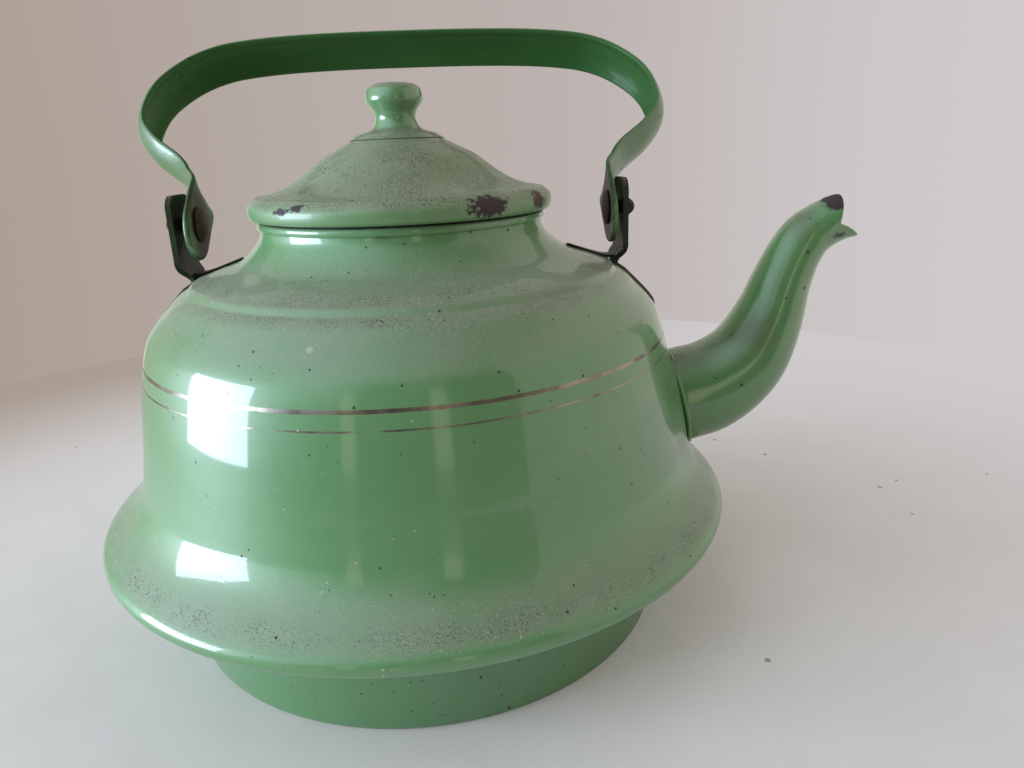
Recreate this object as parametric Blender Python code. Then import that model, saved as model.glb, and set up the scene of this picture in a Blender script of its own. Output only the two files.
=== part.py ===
"""Enamelled steel stove kettle: turned body on a stepped base, S-curved spout,
pressed half-round bail handle on two riveted ears, and a lift-off domed lid.

The kettle's axis is Z, it stands on Z = 0, and the spout points along +X.
Sizes are in metres."""

import math

import bmesh
import bpy
from mathutils import Vector

# Sheet and running clearances
BODY_SHEET = 0.0012
LID_SHEET = 0.0011
SPOUT_SHEET = 0.0012
COLLAR_SHEET = 0.0010
KNOB_SHEET = 0.0010
STRAP_SHEET = 0.0018
SEAT_GAP = 0.0003

# Body shell, from the lip up to the brim and from the neck out to the flange
LIP_HEIGHT = 0.0374
FLANGE_RISE = 0.0039
FLARE_RISE = 0.0201
WALL_RISE = 0.0389
SHOULDER_RISE = 0.0204
STEP_DROP = 0.0026
NECK_RISE = 0.0132
BRIM_BAND = 0.0045
BRIM_WIDTH = 0.0021
BRIM_DEPTH = 0.0030
BRIM_ROLL_ANGLE = math.radians(50)
NECK_RADIUS = 0.0475
LEDGE_WIDTH = 0.0215
STEP_WIDTH = 0.0034
SHOULDER_WIDTH = 0.01595
WALL_SPREAD = 0.00655
FLANGE_WIDTH = 0.0151
LIP_TUCK = 0.0019
LIP_WIDTH = 0.0046

# Swage that draws the wall out under the spout
SWAGE_RISE = 0.0038
SWAGE_ABOVE = 0.0330
SWAGE_BELOW = 0.0240
SWAGE_PLATEAU = 0.0120
SWAGE_SPREAD = 0.0220

# Base pan, which drops into the stove ring
BASE_SETBACK = 0.0220
FOOT_TAPER = 0.0027
FOOT_CORNER = 0.0018
FOOT_TOP_CORNER = 0.0032

# Lid, its collar and knob
LID_OVERHANG = 0.0032
LID_BEAD_WIDTH = 0.0042
LID_RIM_HEIGHT = 0.0060
LID_DOME_RISE = 0.0169
LID_CREASE = 0.0004
LID_VENT_RADIUS = 0.0030
COLLAR_DEPTH = 0.0085
COLLAR_CLEARANCE = 0.0009
COLLAR_TAPER = 0.0006
KNOB_SKIRT_RADIUS = 0.0160
KNOB_NECK_RADIUS = 0.0067
KNOB_RADIUS = 0.0095
KNOB_HEIGHT = 0.0180

# Spout, measured from the wall at the waist
SPOUT_LENGTH = 0.0619
SPOUT_RISE = 0.0678
SPOUT_ROOT_RISE = 0.0050
SPOUT_ROOT_RADIUS = 0.0178
SPOUT_MOUTH_RADIUS = 0.0079
SPOUT_NOTCH_DEPTH = 0.0062
SPOUT_HOOD_REACH = 0.0037
SPOUT_BEAK_REACH = 0.0081
SPOUT_BEAK_DIP = 0.0007
FLOW_HOLE_REACH = 0.0160

# Ears on the shoulder, each a strap with an outer and an inner leaf
EAR_OFFSET = 0.0028
EAR_WIDTH = 0.0185
EAR_RISE = 0.0100
EAR_DROP = 0.0125
EAR_CORNER = 0.0048
EAR_JOGGLE = 0.0024
LEAF_DROP = 0.0161
LEAF_WIDTH = 0.0096
LEAF_SHEET = 0.0010
INNER_LEAF_SHEET = 0.0009
INNER_LEAF_WIDTH = 0.0080
INNER_LEAF_TIP_WIDTH = 0.0020
INNER_LEAF_REACH = 0.0130

# Bail handle and its rivets
PIVOT_RISE = 0.0193
BAIL_LEAN = math.radians(46.4)
BAIL_WIDTH = 0.0173
BAIL_CROWN_ANGLE = math.radians(85)
BAIL_RISE = 0.0862
BAIL_SPREAD = 0.0227
BAIL_EAR_GAP = 0.0029
BAIL_OFFSET = 0.0008
LOBE_WIDTH = 0.0196
LOBE_DROP = 0.0122
LOBE_TIP_WIDTH = 0.0050
LOBE_ROLL_RISE = 0.0240
RIVET_SHANK_RADIUS = 0.0024
RIVET_CLEARANCE = 0.0003
RIVET_HEAD_RADIUS = 0.0060
RIVET_HEAD_HEIGHT = 0.0014
RIVET_PEEN_RADIUS = 0.00315
RIVET_PEEN_HEIGHT = 0.0036

# Places that several pieces share
LEDGE_RADIUS = NECK_RADIUS + LEDGE_WIDTH
STEP_RADIUS = LEDGE_RADIUS + STEP_WIDTH
SHOULDER_RADIUS = STEP_RADIUS + SHOULDER_WIDTH
WAIST_RADIUS = SHOULDER_RADIUS + WALL_SPREAD
FLANGE_RADIUS = WAIST_RADIUS + FLANGE_WIDTH
LIP_RADIUS = FLANGE_RADIUS - LIP_TUCK
FLANGE_HEIGHT = LIP_HEIGHT + FLANGE_RISE
WAIST_HEIGHT = FLANGE_HEIGHT + FLARE_RISE
SHOULDER_HEIGHT = WAIST_HEIGHT + WALL_RISE
STEP_HEIGHT = SHOULDER_HEIGHT + SHOULDER_RISE
LEDGE_HEIGHT = STEP_HEIGHT + STEP_DROP
NECK_HEIGHT = LEDGE_HEIGHT + NECK_RISE
BRIM_HEIGHT = NECK_HEIGHT + BRIM_BAND
BRIM_BORE = NECK_RADIUS - BODY_SHEET
FOOT_TOP_RADIUS = FLANGE_RADIUS - BASE_SETBACK
FOOT_RADIUS = FOOT_TOP_RADIUS - FOOT_TAPER - FOOT_CORNER
LID_RADIUS = NECK_RADIUS + LID_OVERHANG
LID_DOME_RADIUS = LID_RADIUS - LID_BEAD_WIDTH
LID_BASE = BRIM_HEIGHT + SEAT_GAP
SPOUT_ROOT_HEIGHT = WAIST_HEIGHT + SPOUT_ROOT_RISE
PIVOT_HEIGHT = STEP_HEIGHT + PIVOT_RISE
EAR_DISTANCE = STEP_RADIUS + EAR_OFFSET
LOBE_DISTANCE = EAR_DISTANCE - STRAP_SHEET - BAIL_EAR_GAP

# Shares of the sizes above, across and down, chosen from the outline
NECK_SWEEP_SHARES = (
    (0, 0),
    (0.06, 0.166),
    (0.18, 0.39),
    (0.35, 0.62),
    (0.48, 0.72),
    (0.69, 0.825),
    (1, 1),
)
STEP_SHARES = ((0.45, 0.22), (0.78, 0.62), (1, 1))
SHOULDER_SHARES = (
    (0.08, 0.035),
    (0.25, 0.13),
    (0.45, 0.292),
    (0.66, 0.46),
    (0.84, 0.645),
    (0.935, 0.82),
    (1, 1),
)
WALL_SHARES = ((0.22, 0.18), (0.42, 0.365), (0.57, 0.55), (0.75, 0.77), (1, 1))
FLARE_SHARES = (
    (0.06, 0.15),
    (0.18, 0.325),
    (0.33, 0.48),
    (0.51, 0.62),
    (0.69, 0.74),
    (0.84, 0.845),
    (0.947, 0.92),
    (1, 1),
)
LIP_SHARES = ((0.10, 0.45), (0.50, 0.80))
LID_BEAD_SHARES = (
    (0, 1.233),
    (0.31, 1.18),
    (0.72, 0.97),
    (0.965, 0.73),
    (1, 0.43),
    (0.90, 0.12),
    (0.62, 0),
)
LID_DOME_SHARES = (
    (0.065, 1),
    (0.24, 0.978),
    (0.353, 0.912),
    (0.43, 0.809),
    (0.533, 0.672),
    (0.628, 0.482),
    (0.72, 0.291),
    (0.824, 0.129),
    (0.94, 0.022),
    (1, 0),
)
LID_LINING_SHARES = ((1, 0.18), (0, 0.43), (0.5, 0.80))
KNOB_BASE_SHARES = ((0.93, 0.035), (0.66, 0.12), (0.34, 0.168), (0.13, 0.225))
KNOB_STEM_SHARES = ((1, 0.37), (1.06, 0.50))
KNOB_CAP_SHARES = (
    (0.84, 0.57),
    (0.97, 0.66),
    (1, 0.73),
    (0.96, 0.82),
    (0.87, 0.91),
    (0.68, 0.97),
    (0.35, 1),
    (0, 1),
)
SPOUT_PATH_SHARES = (
    (-0.211, 0),
    (0.0475, 0.052),
    (0.222, 0.093),
    (0.377, 0.183),
    (0.484, 0.301),
    (0.576, 0.488),
    (0.628, 0.646),
    (0.690, 0.790),
    (0.755, 0.8835),
    (0.833, 0.9395),
    (0.924, 0.981),
    (1, 1),
)
SPOUT_SWELL_SHARES = (1, 0.98, 0.94, 0.82, 0.68, 0.45, 0.28, 0.17, 0.11, 0.05, 0.02, 0)
SPOUT_MOUTH_SHARE = 0.25
SPOUT_BEAK_SHARE = 0.80
SPOUT_PINCH_SHARE = 0.16
EAR_JOGGLE_SHARES = ((0.80, 0.25), (0.15, 0.52), (0.05, 0.78))
EAR_FOOT_SHARES = (0.92, 0.757, 0.54)
LEAF_COLUMN_SHARES = (-1, -0.6, -0.2, 0.2, 0.6, 1)
LEAF_WIDTH_SHARES = ((0, 0.54), (0.15, 0.84), (0.38, 1), (0.65, 0.86), (0.86, 0.56), (1, 0.2))
BAIL_PATH_SHARES = (
    (0.09, 0.188),
    (0.20, 0.243),
    (0.37, 0.300),
    (0.72, 0.392),
    (0.97, 0.500),
    (0.98, 0.625),
    (0.83, 0.745),
)
BAIL_BOW_SHARES = ((0.87, 0.860), (0.767, 0.930), (0.652, 0.964), (0.475, 0.987), (0.24, 0.998))

# Facets round each turned piece, and points kept on its outline
BODY_FACETS = 56
LID_FACETS = 44
KNOB_FACETS = 24
SPOUT_FACETS = 20
RIVET_FACETS = 16
BAIL_ARC_STEPS = 7
OUTLINE_TOLERANCE = 0.00014
LINING_TOLERANCE = 0.0005
MERGE_DISTANCE = 0.000001
SHARP_ANGLE = math.radians(35)


def clear_scene():
    for old in list(bpy.data.objects):
        bpy.data.objects.remove(old, do_unlink=True)


# Points on curves and outlines


def between(start, end, shares):
    """places between two corner points, each a share across and a share up or down"""
    return [
        (start[0] + across * (end[0] - start[0]), start[1] + along * (end[1] - start[1]))
        for across, along in shares
    ]


def smooth_through(points, steps):
    """a rounded line through the points, in equal steps between neighbours"""
    ends = [points[0]] + list(points) + [points[-1]]
    line = [points[0]]
    for i in range(1, len(ends) - 2):
        before, here, after, beyond = ends[i - 1 : i + 3]
        for step in range(1, steps + 1):
            t = step / steps
            line.append(
                tuple(
                    0.5
                    * (
                        2 * b
                        + (c - a) * t
                        + (2 * a - 5 * b + 4 * c - d) * t**2
                        + (3 * b - a - 3 * c + d) * t**3
                    )
                    for a, b, c, d in zip(before, here, after, beyond)
                )
            )
    return line


def arc(centre, across, upward, start, stop, steps):
    """points on part of an oval, from one angle to another"""
    turn = (stop - start) / steps
    return [
        (
            centre[0] + across * math.cos(start + turn * i),
            centre[1] + upward * math.sin(start + turn * i),
        )
        for i in range(steps + 1)
    ]


def thinned(points, tolerance):
    """the same line with the points left out that lie almost straight between their neighbours"""
    if len(points) < 3:
        return list(points)
    first, last = Vector(points[0]), Vector(points[-1])
    chord = last - first
    worst, place = 0, 0
    for i in range(1, len(points) - 1):
        offset = Vector(points[i]) - first
        share = offset.dot(chord) / chord.length_squared if chord.length else 0
        away = (offset - min(max(share, 0), 1) * chord).length
        if away > worst:
            worst, place = away, i
    if worst <= tolerance:
        return [points[0], points[-1]]
    return thinned(points[: place + 1], tolerance)[:-1] + thinned(points[place:], tolerance)


def shifted(points, distance):
    """the line moved sideways, to the right of the way it runs"""
    moved = []
    for i, point in enumerate(points):
        ahead = Vector(points[min(i + 1, len(points) - 1)])
        behind = Vector(points[max(i - 1, 0)])
        way = (ahead - behind).normalized()
        moved.append((point[0] + way[1] * distance, point[1] - way[0] * distance))
    return moved


def height_at(line, radius):
    """height of a falling outline where it passes a radius"""
    for (r0, h0), (r1, h1) in zip(line, line[1:]):
        if min(r0, r1) <= radius <= max(r0, r1) and r0 != r1:
            return h0 + (h1 - h0) * (radius - r0) / (r1 - r0)
    return line[-1][1]


# Meshes


def add_object(name, bm, material, smooth=True):
    bmesh.ops.recalc_face_normals(bm, faces=bm.faces)
    mesh = bpy.data.meshes.new(name)
    bm.to_mesh(mesh)
    bm.free()
    if smooth:
        mesh.shade_smooth()
        mesh.set_sharp_from_angle(angle=SHARP_ANGLE)
    made = bpy.data.objects.new(name, mesh)
    bpy.context.scene.collection.objects.link(made)
    if material:
        mesh.materials.append(material)
    return made


def turned(name, outline, facets, material, shape=None):
    """a closed outline in the X-Z plane spun once round Z, then drawn out where a shape is given"""
    bm = bmesh.new()
    verts = [bm.verts.new((r, 0, h)) for r, h in outline]
    edges = [bm.edges.new(pair) for pair in zip(verts, verts[1:])]
    if outline[0][0] > 0 or outline[-1][0] > 0:
        edges.append(bm.edges.new((verts[-1], verts[0])))
    bmesh.ops.spin(
        bm,
        geom=verts + edges,
        cent=(0, 0, 0),
        axis=(0, 0, 1),
        angle=math.tau,
        steps=facets,
        use_duplicate=False,
    )
    bmesh.ops.remove_doubles(bm, verts=bm.verts, dist=MERGE_DISTANCE)
    if shape:
        for vert in bm.verts:
            vert.co = shape(vert.co)
    return add_object(name, bm, material)


def tube_mesh(rings, ends_open=False):
    """a bmesh skin over rings of equal length, capped, or joined end to end for a hollow wall"""
    bm = bmesh.new()
    rows = [[bm.verts.new(place) for place in ring] for ring in rings]
    count = len(rows[0])
    pairs = list(zip(rows, rows[1:]))
    if ends_open:
        pairs.append((rows[-1], rows[0]))
    for low, high in pairs:
        for i in range(count):
            j = (i + 1) % count
            bm.faces.new((low[i], low[j], high[j], high[i]))
    if not ends_open:
        bm.faces.new(list(reversed(rows[0])))
        bm.faces.new(rows[-1])
    return bm


def cutter(name, bm):
    made = add_object(name, bm, None, smooth=False)
    made.hide_render = True
    made.display_type = "WIRE"
    return made


def combine(target, tool, operation):
    change = target.modifiers.new(operation.title(), "BOOLEAN")
    change.operation = operation
    change.solver = "EXACT"
    change.object = tool
    return change


def join_and_drop(target, tool):
    """makes a second solid part of the first, and removes it from the scene"""
    combine(target, tool, "UNION")
    graph = bpy.context.evaluated_depsgraph_get()
    joined = bpy.data.meshes.new_from_object(target.evaluated_get(graph))
    target.modifiers.clear()
    target.data = joined
    bpy.data.objects.remove(tool, do_unlink=True)


# Materials, one for each sub-part


def paint(name, colour, roughness, metallic, coat):
    made = bpy.data.materials.new(name)
    made.use_nodes = True
    shader = made.node_tree.nodes["Principled BSDF"]
    shader.inputs["Base Color"].default_value = (*colour, 1)
    shader.inputs["Roughness"].default_value = roughness
    shader.inputs["Metallic"].default_value = metallic
    shader.inputs["Coat Weight"].default_value = coat
    made.diffuse_color = (*colour, 1)
    return made


def body_enamel():
    return paint("body_enamel", (0.20, 0.42, 0.25), 0.16, 0, 0.4)


def base_enamel():
    return paint("base_enamel", (0.08, 0.20, 0.09), 0.35, 0, 0.2)


def spout_enamel():
    return paint("spout_enamel", (0.17, 0.34, 0.20), 0.22, 0, 0.4)


def ear_enamel():
    return paint("ear_enamel", (0.06, 0.12, 0.06), 0.45, 0, 0.2)


def bail_enamel():
    return paint("bail_enamel", (0.16, 0.34, 0.18), 0.25, 0, 0.4)


def rivet_steel():
    return paint("rivet_steel", (0.10, 0.05, 0.04), 0.75, 0.3, 0)


def lid_enamel():
    return paint("lid_enamel", (0.22, 0.40, 0.26), 0.30, 0, 0.3)


def collar_enamel():
    return paint("collar_enamel", (0.15, 0.32, 0.18), 0.30, 0, 0.3)


def knob_enamel():
    return paint("knob_enamel", (0.16, 0.34, 0.20), 0.20, 0, 0.4)


# Outlines that more than one piece follows


def swaged(place):
    """a point of the shell moved out towards the spout, most at the root's own height"""
    if place.x <= 0:
        return place
    reach = SWAGE_ABOVE if place.z > SPOUT_ROOT_HEIGHT else SWAGE_BELOW
    away = min(abs(place.z - SPOUT_ROOT_HEIGHT) / reach, 1)
    aside = min(max((abs(place.y) - SWAGE_PLATEAU) / SWAGE_SPREAD, 0), 1)
    rise = SWAGE_RISE * math.cos(away * math.pi / 2) ** 2 * math.cos(aside * math.pi / 2) ** 2
    return place + Vector((place.x, place.y, 0)).normalized() * rise


def shoulder_line():
    """outer side of the shell from the neck, over the ledge, step, shoulder and wall, to the lip"""
    neck = (NECK_RADIUS, NECK_HEIGHT)
    ledge = (LEDGE_RADIUS, LEDGE_HEIGHT)
    foot = (STEP_RADIUS, STEP_HEIGHT)
    shoulder = (SHOULDER_RADIUS, SHOULDER_HEIGHT)
    waist = (WAIST_RADIUS, WAIST_HEIGHT)
    flange = (FLANGE_RADIUS, FLANGE_HEIGHT)
    lip = (LIP_RADIUS, LIP_HEIGHT)
    points = between(neck, ledge, NECK_SWEEP_SHARES)
    points += between(ledge, foot, STEP_SHARES)
    points += between(foot, shoulder, SHOULDER_SHARES)
    points += between(shoulder, waist, WALL_SHARES)
    points += between(waist, flange, FLARE_SHARES)
    points += between(flange, lip, LIP_SHARES) + [lip]
    return smooth_through(points, 6)


def lid_dome_line():
    """outer side of the lid's dome, from the vent hole to the crease at its rim"""
    crease = LID_BASE + LID_RIM_HEIGHT * LID_BEAD_SHARES[0][1]
    dome = [(a * LID_DOME_RADIUS, crease + u * LID_DOME_RISE) for a, u in LID_DOME_SHARES]
    dome[0] = (LID_VENT_RADIUS, dome[0][1])
    return smooth_through(dome, 3)


# Body, base and spout


def body_shell():
    """thin turned shell: rolled brim, neck, ledge, shoulder, wall and the lip folded under"""
    roll = (BRIM_BORE + BRIM_WIDTH / 2, BRIM_HEIGHT - BRIM_DEPTH / 2)
    brim = arc(roll, BRIM_WIDTH / 2, BRIM_DEPTH / 2, math.pi, -BRIM_ROLL_ANGLE, 6)
    outer = shoulder_line()
    fold = (LIP_RADIUS - LIP_WIDTH, LIP_HEIGHT)
    lining = shifted(outer, BODY_SHEET)
    bottom = LIP_HEIGHT + BODY_SHEET
    lining = [place for place in lining if place[1] > bottom]
    corner = (lining[-1][0], bottom)
    outline = brim + thinned(outer, OUTLINE_TOLERANCE) + [fold, (fold[0], bottom), corner]
    outline += list(reversed(thinned(lining, LINING_TOLERANCE)))
    shell = turned("body_shell", outline, BODY_FACETS, body_enamel(), swaged)
    combine(shell, flow_hole_cutter(), "DIFFERENCE")
    return shell


def base_pan():
    """shallow pan whose rim is caught in the fold of the body, with a flat bottom"""
    seat = LIP_HEIGHT + BODY_SHEET + SEAT_GAP
    rim = LIP_RADIUS - BODY_SHEET / 2
    knee = (FOOT_TOP_RADIUS + FOOT_TOP_CORNER, seat - FOOT_TOP_CORNER)
    heel = (FOOT_RADIUS, FOOT_CORNER)
    under = [(0, 0)]
    under += arc(heel, FOOT_CORNER, FOOT_CORNER, -math.pi / 2, 0, 3)
    under += arc(knee, FOOT_TOP_CORNER, FOOT_TOP_CORNER, math.pi, math.pi / 2, 3)
    under += [(rim, seat)]
    lining = [(0, BODY_SHEET)]
    lining += arc(
        heel, FOOT_CORNER - BODY_SHEET, FOOT_CORNER - BODY_SHEET, -math.pi / 2, 0, 2
    )
    outer_knee = FOOT_TOP_CORNER + BODY_SHEET
    lining += arc(knee, outer_knee, outer_knee, math.pi, math.pi / 2, 3)
    lining += [(rim, seat + BODY_SHEET)]
    outline = lining + list(reversed(under))
    return turned("base_pan", outline, BODY_FACETS, base_enamel())


def spout_line():
    """centre line of the spout with its radius at each point, from inside the wall to the mouth"""
    root = (WAIST_RADIUS, SPOUT_ROOT_HEIGHT)
    mouth = (WAIST_RADIUS + SPOUT_LENGTH, SPOUT_ROOT_HEIGHT + SPOUT_RISE)
    places = between(root, mouth, SPOUT_PATH_SHARES)
    swell = SPOUT_ROOT_RADIUS - SPOUT_MOUTH_RADIUS
    return [
        (x, h, SPOUT_MOUTH_RADIUS + share * swell)
        for (x, h), share in zip(places, SPOUT_SWELL_SHARES)
    ]


def spout_ring(line, place, inset, reach):
    """one ring of the spout at a point of its line, worked by degrees into the mouth's notch and beak"""
    x, h, radius = line[place]
    ahead = line[min(place + 1, len(line) - 1)]
    behind = line[max(place - 1, 0)]
    way = Vector((ahead[0] - behind[0], 0, ahead[1] - behind[1])).normalized()
    across = Vector((0, 1, 0))
    up = way.cross(across)
    up = -up if up.z < 0 or (up.z == 0 and up.x > 0) else up
    ring = []
    for i in range(SPOUT_FACETS):
        angle = math.tau * i / SPOUT_FACETS
        low = max(-math.cos(angle), 0)
        high = max(math.cos(angle), 0)
        beak = max(low + SPOUT_BEAK_SHARE - 1, 0) / SPOUT_BEAK_SHARE
        edge = SPOUT_BEAK_REACH * beak**1.5 + SPOUT_HOOD_REACH * high - SPOUT_NOTCH_DEPTH
        pinch = 1 - SPOUT_PINCH_SHARE * low * reach
        offset = up * math.cos(angle) * (radius - inset) + across * math.sin(angle) * (
            (radius - inset) * pinch
        )
        dip = up * (-SPOUT_BEAK_DIP * low**3 * reach)
        ring.append(Vector((x, 0, h)) + offset + dip + way * edge * reach)
    return ring


def spout():
    """hollow S-curved tube, trimmed where it meets the wall, with a beaked mouth"""
    line = smooth_through(spout_line(), 2)
    last = len(line) - 1
    shares = [max(place / last + SPOUT_MOUTH_SHARE - 1, 0) for place in range(last + 1)]
    reaches = [share / SPOUT_MOUTH_SHARE for share in shares]
    skin = [spout_ring(line, place, 0, reach) for place, reach in enumerate(reaches)]
    lining = [spout_ring(line, place, SPOUT_SHEET, reach) for place, reach in enumerate(reaches)]
    rings = skin + list(reversed(lining))
    made = add_object("spout", tube_mesh(rings, ends_open=True), spout_enamel())
    combine(made, wall_cutter(), "DIFFERENCE")
    return made


def wall_cutter():
    """the body's outside grown by the seat gap, as a solid block"""
    grown = shifted(shoulder_line(), -SEAT_GAP)
    grown = thinned([place for place in grown if place[1] < SHOULDER_HEIGHT], OUTLINE_TOLERANCE)
    outline = [(0, grown[0][1])] + grown + [(0, grown[-1][1])]
    block = turned("wall_cutter", outline, BODY_FACETS, None, swaged)
    block.hide_render = True
    block.display_type = "WIRE"
    return block


def flow_hole_cutter():
    """the spout's bore, carried on through the wall"""
    line = smooth_through(spout_line(), 2)
    rings = [
        spout_ring(line, place, SPOUT_SHEET + SEAT_GAP, 0)
        for place in range(len(line))
        if line[place][0] < WAIST_RADIUS + FLOW_HOLE_REACH
    ]
    return cutter("flow_hole_cutter", tube_mesh(rings))


# Ears


def ear_middle_line():
    """middle of the ear in the X-Z plane: the upright strap, and the leaf that lies on the shoulder"""
    clear = SEAT_GAP + LEAF_SHEET / 2
    outside = [p for p in shifted(shoulder_line(), -clear) if p[0] > STEP_RADIUS + EAR_OFFSET / 2]
    leaf = [p for p in outside if p[1] > STEP_HEIGHT - LEAF_DROP]
    bend = (EAR_DISTANCE, PIVOT_HEIGHT - EAR_DROP)
    foot = (EAR_DISTANCE - EAR_JOGGLE, leaf[0][1])
    joggle = [
        (foot[0] + a * EAR_JOGGLE, bend[1] + u * (foot[1] - bend[1])) for a, u in EAR_JOGGLE_SHARES
    ]
    return [bend] + joggle, thinned(leaf, OUTLINE_TOLERANCE)


def sheet_between(middle, widths, rounds, sheets, side):
    """a bent strap on its middle line in the X-Z plane, wrapped round Z where it lies on the body"""
    right = shifted(middle, 1)
    rings = []
    for place, normal, width, wrap, sheet in zip(middle, right, widths, rounds, sheets):
        across = (Vector(normal) - Vector(place)) * sheet / 2
        front, back = Vector(place) - across, Vector(place) + across
        ring = []
        for line, shares in ((front, LEAF_COLUMN_SHARES), (back, reversed(LEAF_COLUMN_SHARES))):
            for share in shares:
                y = share * width / 2
                bent = math.sqrt(line[0] ** 2 - y**2)
                x = (1 - wrap) * line[0] + wrap * bent
                ring.append(Vector((side * x, y, line[1])))
        rings.append(ring)
    return tube_mesh(rings)


def ear(name, side):
    """strap with rounded top corners, joggled to the step and spread over the shoulder as a leaf"""
    strap, leaf = ear_middle_line()
    top = PIVOT_HEIGHT + EAR_RISE
    corner = [
        (top - EAR_CORNER * (1 - math.cos(turn)), EAR_CORNER * (1 - math.sin(turn)))
        for turn in (0, math.pi / 6, math.pi / 3, math.pi / 2)
    ]
    middle = [(EAR_DISTANCE, h) for h, inset in corner] + strap + leaf
    widths = [EAR_WIDTH - 2 * inset for h, inset in corner] + [EAR_WIDTH]
    widths += [EAR_WIDTH * share for share in EAR_FOOT_SHARES]
    widths += [
        LEAF_WIDTH * height_at(LEAF_WIDTH_SHARES, i / (len(leaf) - 1)) for i in range(len(leaf))
    ]
    rounds = [0] * (len(corner) + 2) + [1 / 3, 2 / 3] + [1] * len(leaf)
    sheets = [STRAP_SHEET] * (len(corner) + 3) + [(STRAP_SHEET + LEAF_SHEET) / 2]
    sheets += [LEAF_SHEET] * len(leaf)
    made = add_object(name, sheet_between(middle, widths, rounds, sheets, side), ear_enamel())
    join_and_drop(made, inner_leaf(side))
    bore = RIVET_SHANK_RADIUS + RIVET_CLEARANCE
    hole = rod_mesh(bore, EAR_DISTANCE - STRAP_SHEET, EAR_DISTANCE + STRAP_SHEET, side)
    combine(made, cutter(name + "_hole", hole), "DIFFERENCE")
    return made


def inner_leaf(side):
    """thin leaf from the ear's foot over the ledge towards the neck"""
    clear = SEAT_GAP + INNER_LEAF_SHEET / 2
    outside = shifted(shoulder_line(), -clear)
    start = EAR_DISTANCE - EAR_JOGGLE
    lying = [p for p in outside if LEDGE_RADIUS - INNER_LEAF_REACH < p[0] < LEDGE_RADIUS]
    middle = [(start, lying[-1][1])] + list(reversed(thinned(lying, LINING_TOLERANCE)))
    count = len(middle) - 1
    widths = [
        INNER_LEAF_TIP_WIDTH
        + (INNER_LEAF_WIDTH - INNER_LEAF_TIP_WIDTH) * math.sqrt(1 - i / count)
        for i in range(count + 1)
    ]
    sheets = [INNER_LEAF_SHEET] * (count + 1)
    bm = sheet_between(middle, widths, [0] + [1] * count, sheets, side)
    return add_object("inner_leaf", bm, None)


def rod_mesh(radius, start, stop, side):
    """a plain round bar along X at the bail's hinge height"""
    rings = []
    for x in (start, stop):
        ring = []
        for i in range(RIVET_FACETS):
            angle = math.tau * i / RIVET_FACETS
            ring.append(
                Vector((side * x, radius * math.cos(angle), PIVOT_HEIGHT + radius * math.sin(angle)))
            )
        rings.append(ring)
    return tube_mesh(rings)


# Bail handle and rivets


def bail_edge_line():
    """path of the strap's edges in the bail's own plane: across, and up from the hinge axis"""
    lobe = LOBE_DISTANCE
    span = lobe + BAIL_SPREAD
    rising = [(lobe + a * BAIL_SPREAD, u * BAIL_RISE) for a, u in BAIL_PATH_SHARES]
    bow = [(a * span, u * BAIL_RISE) for a, u in BAIL_BOW_SHARES]
    flat = [(lobe, 0), (lobe, LOBE_DROP / 2), (lobe, LOBE_DROP)]
    top = [(0, BAIL_RISE)]
    half = flat + rising + bow + top
    whole = half + [(-x, s) for x, s in reversed(half[:-1])]
    line = smooth_through(whole, 3)
    return thinned(line, OUTLINE_TOLERANCE * 2)


def bail_section(place, way, width, crown):
    """ring of the pressed strap: an arc of sheet, nearly flat or half-round"""
    outward = Vector((way[1], 0, -way[0]))
    half = max(crown, math.radians(2)) / 2
    radius = width / 2 / half
    rim = radius * math.cos(half)
    ring = []
    for thick, order in ((STRAP_SHEET / 2, 1), (-STRAP_SHEET / 2, -1)):
        for i in range(BAIL_ARC_STEPS + 1):
            angle = order * half * (2 * i / BAIL_ARC_STEPS - 1)
            away = (radius + thick) * math.cos(angle) - rim
            ring.append(
                Vector((place[0], 0, place[1]))
                + outward * away
                + Vector((0, (radius + thick) * math.sin(angle), 0))
            )
    return ring


def bail_handle():
    """one strap from lobe to lobe: flat round-ended lobes that roll up into a half-round bow"""
    line = bail_edge_line()
    lobe = LOBE_DISTANCE
    end_radius = LOBE_WIDTH / 2
    start_angle = math.asin(LOBE_TIP_WIDTH / LOBE_WIDTH)
    stations = []
    for turn in (0, 0.25, 0.5, 0.75, 1):
        angle = start_angle + (math.pi / 2 - start_angle) * turn
        drop = -LOBE_DROP + end_radius * (1 - math.cos(angle))
        stations.append(((lobe, drop), (0, 1), LOBE_WIDTH * math.sin(angle), 0))
    for i in range(1, len(line) - 1):
        ahead, behind = Vector(line[i + 1]), Vector(line[i - 1])
        way = (ahead - behind).normalized()
        rise = min(max((line[i][1] - LOBE_DROP / 2) / LOBE_ROLL_RISE, 0), 1)
        roll = rise * rise * (3 - 2 * rise)
        width = LOBE_WIDTH + (BAIL_WIDTH - LOBE_WIDTH) * roll
        stations.append((line[i], way, width, BAIL_CROWN_ANGLE * roll))
    for place, way, width, crown in reversed(stations[:5]):
        stations.append(((-place[0], place[1]), (0, -1), width, crown))
    rings = [bail_section(*station) for station in stations]
    made = add_object("bail_handle", tube_mesh(rings), bail_enamel())
    made.location = (BAIL_OFFSET, 0, PIVOT_HEIGHT)
    made.rotation_euler = (-BAIL_LEAN, 0, 0)
    bore = RIVET_SHANK_RADIUS + RIVET_CLEARANCE
    for side in (-1, 1):
        place = lobe + side * BAIL_OFFSET
        hole = rod_mesh(bore, place - STRAP_SHEET, place + STRAP_SHEET, side)
        combine(made, cutter("lobe_hole", hole), "DIFFERENCE")
    return made


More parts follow.
